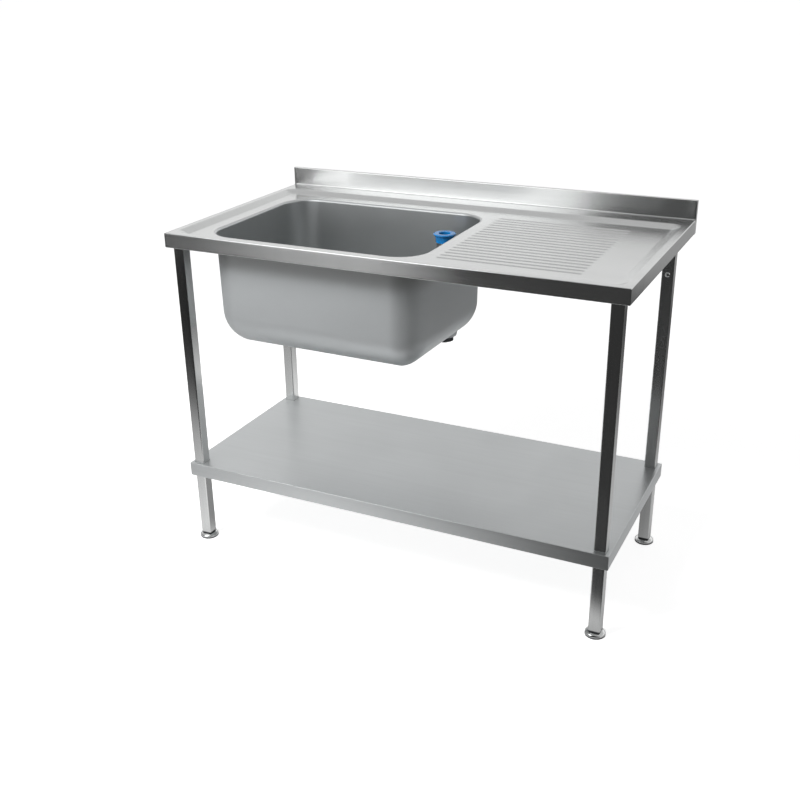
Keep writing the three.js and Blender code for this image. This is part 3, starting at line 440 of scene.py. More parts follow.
def make_worktop(settings):
    """The pressed sheet in one piece. Its top is a height over the plan (rim, sloped step, deck and grooves) on
    uneven grid lines; the same lines run on up and over the upstand, and a folded edge is carried round the
    front and the sides. The bowl's opening is cut by sliding grid points on to its outline."""
    edge, hem, back_rows = settings.fold_radius / MM, 12.0, 12
    reach = SIDE - edge
    lines_x, lines_y = worktop_lines(edge)
    x, y = np.meshgrid(lines_x, lines_y, indexing="ij")
    opening = [(span[0] - OPENING_OUT, span[1] + OPENING_OUT) for span in (BOWL_X, BOWL_Y)]
    outside = lambda px, py: -rounded_distance(px, py, *opening, BOWL_CORNER + OPENING_OUT)
    x, y, side = cut_to_outline(x, y, outside)
    inset = rounded_distance(x, y, RECESS_X, RECESS_Y, RECESS_CORNER)
    z = RIM_Z - step_drop(inset) - groove_drop(x, y, settings.rib_depth / MM)
    top = np.stack([x, y, z], -1), np.stack([x, y], -1), *faces_outside(side, x, y, outside)
    # Rear upstand on the same lines along X; its ends reach out to the end plates.
    line = upstand_line()
    last = np.abs(lines_x[:, None]) > reach - 0.1
    risen = np.clip((line[:, 1] - RIM_Z) / UPSTAND_COVE, 0, 1)
    wide = lines_x[:, None] + np.sign(lines_x[:, None]) * last * (SHEET_END - reach) * risen
    wide[0, -back_rows:], wide[-1, -back_rows:] = -SHEET_END, SHEET_END
    up_y, up_z, up_length = (np.broadcast_to(row, wide.shape) for row in (*line.T, COVE_START + along(line)))
    rise = np.stack([wide, up_y, up_z], -1), np.stack([wide, up_length], -1), grid_faces(*wide.shape)
    # Folded edge: left side from the rear, front, right side to the rear, with no mitre at the rear.
    strip, strip_map = edge_strip(front_stations(lines_x, lines_y, reach, FRONT + edge),
                                  (reach, FRONT + edge, 1e4), fold_profile(edge, RIM_Z - APRON_Z, hem), RIM_Z)
    border = strip, strip_map, grid_faces(*strip.shape[:2], flip=True)
    return folded_sheet("worktop", (top, rise, border), settings.sheet_thickness)


def make_upstand_end(name, side):
    """End plate of the upstand: its side outline with round corners and a cove at the foot, carried outwards
    through the sheet's thickness with a small round edge."""
    foot, soft = COVE_START + 0.3, 0.35
    centre = COVE_START, RIM_Z + UPSTAND_COVE
    toe = [[centre[0] + UPSTAND_COVE * math.cos(a), centre[1] - UPSTAND_COVE * math.sin(a)]
           for a in np.linspace(0, QUARTER, 9)[1:-1]]
    outline = softened([[foot, APRON_Z], [REAR, APRON_Z], [REAR, UPSTAND_TOP], [UPSTAND_FACE, UPSTAND_TOP]],
                       [0, 2.0, UPSTAND_FOLD, 0], steps=7)
    outline = np.concatenate([outline, [[UPSTAND_FACE, centre[1]]], toe, [[foot, RIM_Z]]])
    ahead = np.roll(outline, -1, 0) - np.roll(outline, 1, 0)
    outward = np.stack([ahead[:, 1], -ahead[:, 0]], -1) / np.linalg.norm(ahead, axis=1)[:, None]
    turn = np.linspace(0, QUARTER, 4)
    levels = np.concatenate([[PLATE_INSIDE], SIDE - soft + soft * np.sin(turn)])
    insets = np.concatenate([[0.0], soft * (1 - np.cos(turn))])
    rows = outline[None] - outward[None] * insets[:, None, None]
    grid = np.concatenate([np.broadcast_to((side * levels)[:, None, None], (*rows.shape[:2], 1)), rows], -1)
    faces = grid_faces(*grid.shape[:2], closed_columns=True, flip=side > 0).tolist()
    count = len(outline)
    caps = [list(range(count)), [len(levels) * count - 1 - k for k in range(count)]]
    faces += [cap[::-1] for cap in caps] if side > 0 else caps
    return mesh_object(name, grid, faces, uv=grid[..., 1:3], sharp=50)


# ---- bowl ----

def fallen(z, x, y):
    """Height with the bottom's fall to the waste: the lower the point, the more of the fall it takes."""
    share = np.clip((DECK_Z - z) / (DECK_Z - BOWL_FLOOR), 0, 1)
    return z - share * (FALL_X * (x - BOWL_MIDDLE[0]) + FALL_Y * (y - BOWL_MIDDLE[1]))


def bottom_height(x, y):
    """Height of the bowl's inside over a plan point: a round fillet at the walls and a flat, falling bottom."""
    inset = rounded_distance(x, y, BOWL_X, BOWL_Y, BOWL_CORNER)
    reach = np.clip(FILLET_INSET + BOWL_FILLET - inset, 0, BOWL_FILLET)
    return fallen(BOWL_FLOOR + BOWL_FILLET - np.sqrt(BOWL_FILLET ** 2 - reach ** 2), x, y)


SEAT_Z = float(fallen(BOWL_FLOOR, *WASTE)) - DISH_DEPTH


def bowl_loop():
    """Core points and outward directions round the bowl: its wall is the core plus a distance outwards."""
    arc_steps, side_steps = 22, (46, 26)
    (x0, x1), (y0, y1), r = BOWL_X, BOWL_Y, BOWL_CORNER
    centres = np.array([(x1 - r, y1 - r), (x0 + r, y1 - r), (x0 + r, y0 + r), (x1 - r, y0 + r)])
    core, way = [], []
    for k, centre in enumerate(centres):
        steps = side_steps[k % 2]
        share = np.linspace(0, 1, steps, endpoint=False)[:, None]
        core += [np.tile(centre, (arc_steps, 1)), centre * (1 - share) + centres[(k + 1) % 4] * share]
        way.append(directions((k + np.linspace(0, 1, arc_steps, endpoint=False)) * QUARTER))
        way.append(np.tile(directions((k + 1) * QUARTER), (steps, 1)))
    return np.concatenate(core), np.concatenate(way)


def make_bowl(settings):
    """The drawn bowl's inside face, thickened outwards. Round the outline run the lip's arc, the drafted wall
    and the bottom's fillet; from there every line is drawn straight in plan to the waste, with its height from
    bottom_height, and then down the dish to the seat."""
    core, way = bowl_loop()
    wall_top, wall_foot = DECK_Z - LIP_RADIUS, BOWL_FLOOR + BOWL_FILLET
    rows = []

    def ring(plan, z):
        height = z(plan[:, 0], plan[:, 1]) if callable(z) else np.broadcast_to(z, len(plan))
        rows.append(np.concatenate([plan, height[:, None]], 1))

    inwards = lambda inset: core + way * (BOWL_CORNER - inset)
    for a in np.linspace(0, QUARTER, 9):
        ring(inwards(-LIP_OUT + LIP_RADIUS * math.sin(a)), wall_top + LIP_RADIUS * math.cos(a))
    for t in np.linspace(0, 1, 9)[1:-1]:
        ring(inwards(WALL_INSET + (FILLET_INSET - WALL_INSET) * t),
             lambda x, y: (1 - t) * wall_top + t * fallen(wall_foot, x, y))
    start = inwards(FILLET_INSET)
    radial = start - WASTE
    radial /= np.linalg.norm(radial, axis=1)[:, None]
    line = WASTE + DISH_RADIUS * radial - start
    # Even steps of the fillet's angle as far as the line still falls with it, then even steps on the flat.
    nearly = 0.985
    gain = -(line * way).sum(1)
    limit = np.arccos(np.clip(1 - nearly * gain / BOWL_FILLET, 0, 1))
    shares = [np.minimum(BOWL_FILLET * (1 - np.cos(limit * t)) / gain, nearly)
              for t in np.linspace(0, 1, settings.bowl_steps)]
    last = shares[-1]
    shares += [last + (1 - last) * t for t in np.linspace(0, 1, 13)[1:]]
    for share in shares:
        ring(start + line * share[:, None], bottom_height)
    rim = rows[-1][:, 2]
    for t in np.linspace(0, 1, 7)[1:]:
        ring(WASTE + (DISH_RADIUS - DISH_FLANK * t) * radial, rim + (SEAT_Z - rim) * smooth(t))
    ring(WASTE + WASTE_HOLE * radial, SEAT_Z)
    piece = surface("bowl_shell", np.array(rows), closed_columns=True, flip=True, sharp=60)
    return thicken(piece, settings.sheet_thickness)


# ---- stand ----

def make_leg(name, corner):
    """Square tube with round corners: outer and inner outlines carried up the leg and joined at both ends."""
    outer, way = square_loop(LEG_HALF, LEG_CORNER)
    inner, edge = outer - way * LEG_WALL, outer - way * LEG_EDGE
    rows = [(edge, LEG_LOW), (outer, LEG_LOW + LEG_EDGE), (outer, LEG_HIGH - LEG_EDGE), (edge, LEG_HIGH),
            (inner, LEG_HIGH), (inner, LEG_LOW)]
    grid = np.array([np.concatenate([plan + leg_place(corner), np.full((len(plan), 1), z)], 1)
                     for plan, z in rows])
    uv = np.stack(np.broadcast_arrays(along(outer), grid[..., 2]), -1)
    return surface(name, grid, closed_rows=True, closed_columns=True, flip=True, sharp=35, uv=uv)


def make_shelf():
    """The undershelf: a flat grid with a square opening for each leg, and a folded edge carried all round."""
    hole, hem_radius, thickness = SHELF_HOLE, 1.6, 1.0 * MM
    reach, front, rear = SHELF_X - SHELF_FOLD, SHELF_Y[0] + SHELF_FOLD, SHELF_Y[1] - SHELF_FOLD
    lines_x = spread(-reach, (-LEG_X - hole, 1), (-LEG_X + hole, 2), (LEG_X - hole, 60), (LEG_X + hole, 2),
                     (reach, 1))
    lines_y = spread(front, (LEG_FRONT - hole, 1), (LEG_FRONT + hole, 2), (LEG_REAR - hole, 30),
                     (LEG_REAR + hole, 2), (rear, 1))
    x, y = np.meshgrid(lines_x, lines_y, indexing="ij")
    quads = grid_faces(*x.shape)
    middle_x, middle_y = x.ravel()[quads].mean(1), y.ravel()[quads].mean(1)
    in_x = np.abs(np.abs(middle_x) - LEG_X) < hole
    in_y = (np.abs(middle_y - LEG_FRONT) < hole) | (np.abs(middle_y - LEG_REAR) < hole)
    top = np.stack([x, y, np.full(x.shape, SHELF_Z)], -1), np.stack([x, y], -1), quads[~(in_x & in_y)]
    stations = (*front_stations(lines_x, lines_y, reach, front), corner_fan(reach, rear, 0),
                straight_side(lines_x[::-1], rear, (0, 1)), corner_fan(-reach, rear, 1))
    profile = fold_profile(SHELF_FOLD, SHELF_DROP, SHELF_HEM, hem_radius)
    strip, strip_map = edge_strip(stations, (reach, front, rear), profile, SHELF_Z)
    border = strip, strip_map, grid_faces(*strip.shape[:2], closed_rows=True, flip=True)
    return folded_sheet("shelf_sheet", (top, border), thickness)


def hex_radius(angle, flats):
    """Distance from a hexagon's centre to its side, over the angle, for a width across its flats."""
    return flats / 2 / np.cos((angle + math.pi / 6) % (math.pi / 3) - math.pi / 6)


def make_screw(kind, corner):
    """Domed screw with a six-sided socket, along Y, in the place and direction of its CAD node. Rows run from
    the shaft's end, over the head's dome and down the socket's walls; round the socket the radius follows the
    hexagon."""
    shaft, head, top, socket, dome = 4.0, 6.8, 4.2, 5.0, QUARTER * 0.82
    angle = whole_turn(48)
    six = hex_radius(angle, socket)
    rows = [(0.0, -12.0), (shaft - 0.8, -12.0), (shaft, -11.2), (shaft, 0.0), (head - 0.3, 0.0), (head, 0.3)]
    for a in np.linspace(0.1, 1.0, 9) * dome:
        rows.append((head * math.cos(a) ** 0.7, 0.3 + (top - 0.3) * math.sin(a) / math.sin(dome)))
    rows += [(six + 0.25, top), (six, top - 0.2), (six, 1.9), (0.0, 1.7)]
    low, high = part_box(kind + corner)
    x, y = leg_place(corner)
    inward = 1 if (low.y + high.y) / 2 / MM > y else -1
    upright = rings(rows, angle)
    grid = np.stack([x + upright[..., 0], y + inward * (LEG_HALF + upright[..., 2]),
                     (low.z + high.z) / 2 / MM + upright[..., 1]], -1)
    return surface(kind + "head_" + corner, grid, closed_columns=True, flip=inward > 0, sharp=38)


def thread_rows(radius, depth, pitch, low, high, steps, per_pitch=6):
    """Rings of a screw thread: over angle and height, a ridge that climbs one pitch in each turn and fades at
    both ends."""
    z = np.arange(low, high, pitch / per_pitch)
    phase = (z[:, None] / pitch - whole_turn(steps)[None] / (2 * math.pi)) % 1.0
    ridge = np.abs(2 * phase - 1)
    fade = np.minimum(1, np.minimum(z - low, high - z) / pitch)[:, None]
    return list(zip(radius - depth * ridge * np.clip(fade, 0, 1), z))


def make_foot_screw(name, corner):
    """Levelling foot: the domed flange's profile turned, then the threaded stem."""
    steps, bottom, thread_top, top = 64, 4.3, 61.0, 62.0
    dome = np.array([[24.6, 0.0], [25.4, 0.5], [25.6, 1.6], [25.35, 2.9], [24.4, 4.4], [22.4, 6.0], [19.0, 7.4],
                     [14.5, 8.3], [9.5, 8.8], [5.4, 9.0]])
    curve = np.linspace(0, len(dome) - 1, 40)
    radii, heights = (np.interp(curve, np.arange(len(dome)), dome[:, k]) for k in range(2))
    rows = [(0.0, bottom), *zip(radii, bottom + heights)]
    rows += thread_rows(5.0, 0.75, 1.5, bottom + dome[-1, 1], thread_top, steps)
    rows += [(4.2, top - 0.6), (4.0, top), (0.0, top)]
    return round_piece(name, rows, leg_place(corner), steps, sharp=50)


def make_foot_pad(name, corner):
    """Sole of a foot: a shallow disc with a round edge and a groove round it."""
    line = [[0, 0], [24.6, 0], [25.6, 0.9], [25.6, 1.7], [25.2, 2.0], [25.6, 2.3], [25.6, 3.3], [25.0, 4.0],
            [0, 4.0]]
    return turned(name, softened(line, 0.3, 3), leg_place(corner), 64, closed=False, sharp=40)


# ---- waste and standpipe ----

FLANGE_TOP = SEAT_Z + 4.6
TUBE_BOTTOM = FLANGE_TOP + 4.6
STANDPIPE_TOP = 846.0
CONE_DEPTH, CONE_FOOT, CONE_MOUTH = 16.0, 13.5, 15.7


def make_waste_body():
    """Waste: the bored body's section turned, with a thread on its tail."""
    steps, under, low, cone_foot = 96, SEAT_Z + 2.6, SEAT_Z - 20.5, FLANGE_TOP - CONE_DEPTH
    rows = [(CONE_FOOT, cone_foot), (CONE_FOOT, low + 0.4), (13.9, low), (15.4, low)]
    rows += thread_rows(16.6, 1.1, 2.3, low + 0.6, under - 2.0, steps, 8)
    rows += [(16.0, under - 1.0), (16.0, under), (30.8, under), (31.6, under + 0.3), (32.0, under + 0.9),
             (31.4, FLANGE_TOP - 1.2), (30.0, FLANGE_TOP - 0.4), (28.0, FLANGE_TOP - 0.1), (26.0, FLANGE_TOP),
             (16.3, FLANGE_TOP), (15.6, FLANGE_TOP - 0.4), (CONE_FOOT, cone_foot)]
    return round_piece("waste_flange", rows, WASTE, steps, sharp=42)


def make_waste_seal(name, inner, outer, bottom, top):
    """Flat rubber ring with rounder outer edges."""
    line = [[inner, bottom], [outer, bottom], [outer, top], [inner, top]]
    return turned(name, softened(line, [0.3, 0.7, 0.7, 0.3], 5, True), WASTE, 80, sharp=60)


def make_waste_nut():
    """Back nut: at each height the smaller of the hexagon's radius and a barrel's, which cuts the corners'
    chamfers, with a plain bore."""
    top, height, flats, turn, bore = SEAT_Z - 4.1, 12.0, 50.0, math.radians(25), 17.3
    bottom, reach = top - height, flats / math.sqrt(3)
    side = np.concatenate([[0.004], np.linspace(0.02, 0.98, 21), [0.996]])
    angle = ((np.arange(6)[:, None] + side[None]) * math.pi / 3).ravel() + math.pi / 6
    six = hex_radius(angle, flats)
    barrel = softened([[17.0, bottom], [reach - 3.2, bottom], [reach - 0.4, bottom + 1.8],
                       [reach - 0.4, top - 1.8], [reach - 3.2, top], [17.0, top]], [0, 0.8, 0.8, 0.8, 0.8, 0], 5)
    rows = [(bore, bottom + 0.3), (bore + 0.3, bottom), *((np.minimum(six, r), z) for r, z in barrel[1:-1]),
            (bore + 0.3, top), (bore, top - 0.3), (bore, bottom + 0.3)]
    grid = rings(rows, angle + turn, WASTE)
    return surface("waste_back_nut", grid, closed_columns=True, flip=True, sharp=28)


def make_standpipe_plug():
    """Rubber foot of the standpipe: cone, stop flange and the spigot inside the tube, bored through."""
    clear, bore, stop_radius, spigot = 0.35, 10, 23.5, 20.9
    slope = (CONE_MOUTH - CONE_FOOT) / CONE_DEPTH
    cone = lambda z: CONE_FOOT - clear + slope * (z - FLANGE_TOP + CONE_DEPTH)
    low, stop, high = FLANGE_TOP - 14, FLANGE_TOP + 0.3, TUBE_BOTTOM + 12
    line = [[bore, low], [cone(low), low], [cone(stop - 0.3), stop - 0.3], [cone(stop - 0.3), stop],
            [stop_radius, stop], [stop_radius, TUBE_BOTTOM - 0.3], [spigot, TUBE_BOTTOM - 0.3], [spigot, high],
            [bore, high]]
    radii = [0.5, 0.8, 0, 0, 0.9, 0.9, 0, 0.8, 0.5]
    return turned("standpipe_foot", softened(line, radii, 5, True), WASTE, 80, sharp=45)


def make_standpipe_tube():
    """Plain tube from the rubber foot up into the collar."""
    inner, outer, top = 21.3, 22.5, STANDPIPE_TOP - 10
    line = [[inner, TUBE_BOTTOM], [outer, TUBE_BOTTOM], [outer, top], [inner, top]]
    return turned("standpipe_pipe", softened(line, 0.3, 3, True), WASTE, 96, sharp=45)


def make_standpipe_collar():
    """Moulded collar: ring, tapered skirt and sleeve, its section softened at every corner and turned."""
    top, sleeve, mouth = STANDPIPE_TOP, 22.8, 15.3
    line = [[mouth, top - 1.5], [mouth + 2, top], [27.5, top], [29.9, top - 1.0], [30.5, top - 2.6],
            [29.9, top - 4.4], [25.9, top - 5.4], [sleeve + 2, top - 14.5], [sleeve + 1.5, top - 15.5],
            [sleeve + 1.4, top - 24], [sleeve, top - 24], [sleeve, top - 9.7], [mouth, top - 9.7]]
    radii = [0.6, 1.0, 2.0, 1.2, 1.2, 1.2, 1.5, 0.8, 0.8, 0.5, 0.2, 0, 0.4]
    return turned("standpipe_ring", softened(line, radii, 5, True)[::-1], WASTE, 96, sharp=50)


# ---- shader nodes ----

def feed(tree, node, inputs):
    """Links each named input of a node to an output socket, or gives it a plain value."""
    for label, value in inputs.items():
        if isinstance(value, bpy.types.NodeSocket):
            tree.links.new(value, node.inputs[label])
        else:
            node.inputs[label].default_value = value


def add(tree, kind, inputs, **settings):
    """Outputs of a new node with these settings and inputs."""
    node = tree.nodes.new("ShaderNode" + kind)
    for label, value in settings.items():
        setattr(node, label, value)
    feed(tree, node, inputs)
    return node.outputs


def maths(tree, operation, *values):
    """Result of a math node on sockets or plain values."""
    return add(tree, "Math", dict(enumerate(values)), operation=operation)["Value"]


def vector_maths(tree, operation, *values):
    """Result of a vector math node: a value for a dot product or a length, or else a vector."""
    result = add(tree, "VectorMath", dict(enumerate(values)), operation=operation)
    return result["Value" if operation in ("DOT_PRODUCT", "LENGTH") else "Vector"]


def product(tree, *values):
    """Product of sockets."""
    total = values[0]
    for value in values[1:]:
        total = maths(tree, "MULTIPLY", total, value)
    return total


def mapped(tree, value, low, high, to_low, to_high, soft=True):
    """A value moved from one range to another, with a soft step if wanted."""
    ends = {"Value": value, "From Min": low, "From Max": high, "To Min": to_low, "To Max": to_high}
    return add(tree, "MapRange", ends, interpolation_type="SMOOTHSTEP" if soft else "LINEAR")["Result"]


def mixed(tree, factor, first, second, data_type="RGBA", **settings):
    """One colour or value changing into another with a mask."""
    ends = {"Factor": factor, "A": first, "B": second}
    return add(tree, "Mix", ends, data_type=data_type, **settings)["Result"]


def noise(tree, vector, scale, detail, roughness=0.5, distortion=0.0):
    """Noise from about 0 to 1."""
    return add(tree, "TexNoise", {"Vector": vector, "Scale": scale, "Detail": detail, "Roughness": roughness,
                                  "Distortion": distortion})["Fac"]


def bumped(tree, height, strength, distance):
    """Normal with a bump from a height."""
    return add(tree, "Bump", {"Strength": strength, "Distance": distance, "Height": height})["Normal"]


def object_place(tree):
    """Place in the object's own coordinates."""
    return add(tree, "TexCoord", {})["Object"]


def split(tree, vector):
    """X, Y and Z of a vector."""
    return add(tree, "SeparateXYZ", {"Vector": vector})


def new_group(name, inputs, outputs):
    """An empty shader node group: its tree, its inputs' sockets and its output node. An input is (name, kind,
    default)."""
    group = bpy.data.node_groups.new(name, "ShaderNodeTree")
    for label, kind, default in inputs:
        socket = group.interface.new_socket(name=label, in_out="INPUT", socket_type="NodeSocket" + kind)
        socket.default_value = default
    for label in outputs:
        group.interface.new_socket(name=label, in_out="OUTPUT", socket_type="NodeSocketFloat")
    return group, group.nodes.new("NodeGroupInput").outputs, group.nodes.new("NodeGroupOutput")


def brushing_group(name):
    """Brushed grain: fine scratches that are long one way and very narrow across, and broader bands of them.
    Gives a height for bump, a fine value and a broad value, each about 0 to 1."""
    tree, given, out = new_group(
        name, [("Vector", "Vector", (0, 0, 0)), ("Stretch", "Vector", (6.0, 900.0, 900.0)),
               ("Bands", "Vector", (1.2, 60.0, 60.0))], ("Height", "Fine", "Broad"))
    fine = noise(tree, vector_maths(tree, "MULTIPLY", given["Vector"], given["Stretch"]), 1.0, 4.0, 0.6)
    broad = noise(tree, vector_maths(tree, "MULTIPLY", given["Vector"], given["Bands"]), 1.0, 3.0, 0.55)
    feed(tree, out, {"Height": maths(tree, "MULTIPLY_ADD", fine, 0.7, broad),
                     "Fine": mapped(tree, fine, 0.25, 0.75, 0, 1, soft=False),
                     "Broad": mapped(tree, broad, 0.25, 0.75, 0, 1, soft=False)})
    return tree


def handling_group(name):
    """Marks of use: soft smears where the sheet has been wiped and handled."""
    tree, given, out = new_group(name, [("Vector", "Vector", (0, 0, 0)), ("Smear Scale", "Float", 5.0)],
                                 ("Smear",))
    smear = noise(tree, given["Vector"], given["Smear Scale"], 5.0, 0.62, distortion=0.7)
    feed(tree, out, {"Smear": mapped(tree, smear, 0.35, 0.7, 0, 1, soft=False)})
    return tree


def moulding_group(name):
    """Moulded plastic skin: a fine even grain and slow waviness, as a height and a shade."""
    tree, given, out = new_group(name, [("Vector", "Vector", (0, 0, 0)), ("Grain", "Float", 1400.0)],
                                 ("Height", "Shade"))
    grain, wave = noise(tree, given["Vector"], given["Grain"], 2.0), noise(tree, given["Vector"], 60.0, 2.0)
    feed(tree, out, {"Height": maths(tree, "MULTIPLY_ADD", grain, 0.4, wave), "Shade": wave})
    return tree


GROUPS = {"brushing": brushing_group, "handling": handling_group, "moulding": moulding_group}


def grouped(tree, name, inputs):
    """Outputs of a shared group, which is made on its first use."""
    return add(tree, "Group", inputs, node_tree=bpy.data.node_groups.get(name) or GROUPS[name](name))


# ---- finishes ----

def scaled(colour, share):
    """A colour's channels times a share."""
    return tuple(c * share for c in colour)


def base_material(name, colour, roughness, metallic):
    """A material of plain values, with its tree and its shader."""
    material = bpy.data.materials.new(name)
    material.use_nodes = True
    tree = material.node_tree
    shader = tree.nodes["Principled BSDF"]
    feed(tree, shader, {"Base Color": (*colour, 1), "Roughness": roughness, "Metallic": metallic})
    return material, tree, shader


def steel(name, colour, roughness, stretch, bands, coordinates="Object", marks=0.5, bump=0.04, swing=0.05,
          tint=0.04, grain_way=0.0, drawn_out=0.0):
    """Brushed or satin stainless steel. Grain changes the roughness and a fine bump; bands and smears change
    colour and roughness a little. Reflections are drawn out across the brushing, which runs along the UV map's
    first way (a quarter turn) or its second (no turn)."""
    material, tree, shader = base_material(name, colour, roughness, 1.0)
    place = add(tree, "TexCoord", {})
    grain = grouped(tree, "brushing", {"Vector": place[coordinates], "Stretch": stretch, "Bands": bands})
    use = grouped(tree, "handling", {"Vector": place["Object"]})
    least = roughness - swing / 2 - 0.03 * marks
    smeared = maths(tree, "MULTIPLY_ADD", use["Smear"], 0.06 * marks, least)
    shade = maths(tree, "MULTIPLY_ADD", grain["Broad"], 0.5, maths(tree, "MULTIPLY", grain["Fine"], 0.5))
    lighter = tuple(min(1.0, c) for c in scaled(colour, 1 + tint))
    feed(tree, shader, {
        "Base Color": mixed(tree, shade, (*scaled(colour, 1 - tint), 1), (*lighter, 1)),
        "Roughness": maths(tree, "MULTIPLY_ADD", grain["Broad"], swing, smeared),
        "Normal": bumped(tree, grain["Height"], bump, 0.0002)})
    if drawn_out:
        way = add(tree, "Tangent", {}, direction_type="UV_MAP", uv_map="UVMap")["Tangent"]
        feed(tree, shader, {"Anisotropic": drawn_out, "Anisotropic Rotation": grain_way, "Tangent": way})
    return material


def pickled_steel(name, colour, roughness, **options):
    """Steel of a drawn bowl, matt on its outside as it comes from pickling: where the surface faces away from
    the bowl's middle, it has its own roughness, share of bare metal and shade. Along the top edge of the outside
    the colour is darker: a painted shade that stands for the shadow the worktop's apron casts on the bowl."""
    # The last colour is a painted shade: it darkens the bowl's outside along the top, where the apron's shadow
    # falls.
    middle, matt, bare_metal, dull, painted_apron_shade = (-0.2, -0.02, 0.9), 0.46, 0.6, 0.97, (0.7, 0.69, 0.68, 1)
    material = steel(name, colour, roughness, **options)
    tree = material.node_tree
    shader = tree.nodes["Principled BSDF"]
    bright, sheen = (shader.inputs[label].links[0].from_socket for label in ("Base Color", "Roughness"))
    place, normal = object_place(tree), add(tree, "NewGeometry", {})["Normal"]
    facing = vector_maths(tree, "DOT_PRODUCT", vector_maths(tree, "SUBTRACT", place, middle), normal)
    outside = mapped(tree, facing, -0.02, 0.02, 0, 1)
    # Painted shade mask: the top band of the outside under the apron, darkened as if in the apron's shadow.
    weld = product(tree, mapped(tree, split(tree, place)["Z"], 0.775, 0.825, 0, 1), outside)
    duller = mixed(tree, outside, bright, (dull, dull * 1.01, dull * 1.02, 1), blend_type="MULTIPLY")
    feed(tree, shader, {
        "Base Color": mixed(tree, weld, duller, painted_apron_shade, blend_type="MULTIPLY"),
        "Roughness": mixed(tree, outside, sheen, matt, data_type="FLOAT"),
        "Metallic": mapped(tree, outside, 0, 1, 1, bare_metal)})
    return material


def plastic(name, colour, roughness, grain=1400.0, bump=0.08, other=0.8, coat=0.0):
    """Moulded plastic or rubber with a fine grain and slightly uneven shade."""
    material, tree, shader = base_material(name, colour, roughness, 0.0)
    place = object_place(tree)
    skin = grouped(tree, "moulding", {"Vector": place, "Grain": grain})
    use = grouped(tree, "handling", {"Vector": place, "Smear Scale": 30.0})
    feed(tree, shader, {
        "Base Color": mixed(tree, use["Smear"], (*colour, 1), (*scaled(colour, other), 1)),
        "Roughness": maths(tree, "MULTIPLY_ADD", skin["Shade"], 0.12, roughness - 0.06),
        "Normal": bumped(tree, skin["Height"], bump, 0.0003),
        "Coat Weight": coat, "Coat Roughness": 0.12})
    return material


def galvanised(name, colour, roughness):
    """Zinc-coated steel: a mosaic of crystal patches of slightly different grey, with smears of use."""
    material, tree, shader = base_material(name, colour, roughness, 0.85)
    place = object_place(tree)
    cells = add(tree, "TexVoronoi", {"Vector": place, "Scale": 140.0})
    patch = add(tree, "SeparateColor", {"Color": cells["Color"]})["Red"]
    use = grouped(tree, "handling", {"Vector": place})
    feed(tree, shader, {
        "Base Color": mixed(tree, patch, (*scaled(colour, 0.8), 1), (*scaled(colour, 1.12), 1)),
        "Roughness": maths(tree, "MULTIPLY_ADD", use["Smear"], 0.2, roughness - 0.1),
        "Normal": bumped(tree, cells["Distance"], 0.05, 0.0003)})
    return material


def finish_named(name):
    """A finish by its record slot, made on its first use from the settings."""
    label = "finish_" + name
    if label in bpy.data.materials:
        return bpy.data.materials[label]
    look = bpy.context.scene.sink_finish
    bare, rough, satin = tuple(look.steel), look.steel_roughness, look.satin_roughness
    cool = lambda share: tuple(c * k for c, k in zip(scaled(bare, share), (0.985, 1.0, 1.01)))
    maker, colour, roughness, options = {
        "worktop_steel": (steel, bare, rough, {
            "stretch": (7, 520, 520), "bands": (0.8, 60, 60), "coordinates": "UV", "marks": 0.4, "bump": 0.025,
            "swing": 0.04, "tint": 0.05, "grain_way": 0.25, "drawn_out": 0.9}),
        "bowl_steel": (pickled_steel, cool(0.84), satin, {
            "stretch": (320, 320, 320), "bands": (9, 9, 14), "bump": 0.02, "swing": 0.03, "tint": 0.02}),
        "shelf_steel": (steel, cool(0.92), satin, {
            "stretch": (6, 500, 500), "bands": (0.8, 40, 40), "coordinates": "UV", "marks": 0.6, "tint": 0.06,
            "grain_way": 0.25, "drawn_out": 0.6}),
        "leg_steel": (steel, scaled(bare, 0.94), rough, {
            "stretch": (600, 7, 7), "bands": (90, 1.4, 1.4), "coordinates": "UV", "marks": 0.4,
            "drawn_out": 0.85}),
        "screw_steel": (steel, scaled(bare, 1.08), 0.16, {
            "stretch": (500, 500, 500), "bands": (30, 30, 30), "marks": 0.4, "bump": 0.03, "swing": 0.06}),
        "foot_steel": (steel, scaled(bare, 1.02), 0.14, {
            "stretch": (300, 300, 900), "bands": (20, 20, 60), "marks": 0.6, "bump": 0.03, "swing": 0.06}),
        "galvanised_steel": (galvanised, (0.5, 0.52, 0.53), 0.5, {}),
        "foot_plastic": (plastic, (0.09, 0.094, 0.1), 0.5, {}),
        "waste_plastic": (plastic, tuple(look.moulded), 0.38, {}),
        "rubber": (plastic, (0.03, 0.03, 0.032), 0.7, {"grain": 900.0, "bump": 0.12, "other": 1.3}),
        "blue_plastic": (plastic, tuple(look.collar), 0.26, {
            "grain": 700.0, "bump": 0.04, "other": 0.86, "coat": 0.3}),
    }[name]
    return maker(label, colour, roughness, **options)


def dress(piece, slot, body, *nodes):
    """Gives a piece its finish, the body it moves with and the CAD nodes it stands for. The large flat faces
    decide the shading beside them, so that a sheet looks flat up to its folds."""
    even = piece.modifiers.new("Even shading", "WEIGHTED_NORMAL")
    even.keep_sharp = True
    piece.data.materials.append(finish_named(slot))
    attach(piece, body)
    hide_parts(*nodes)


def dress_node(name, slot):
    """Puts a finish on a CAD node that stays in view."""
    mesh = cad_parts[name].data
    mesh.materials.clear()
    mesh.materials.append(finish_named(slot))


# ---- operators ----

class SINK_OT_worktop(bpy.types.Operator):
    """Build the pressed worktop sheet with its ribs, apron and upstand"""
    bl_idname = "sink.worktop"
    bl_label = "Worktop"

    def execute(self, context):
        dress(make_worktop(context.scene.sink_sheet), "worktop_steel", "frame", "sink_top")
        return {"FINISHED"}


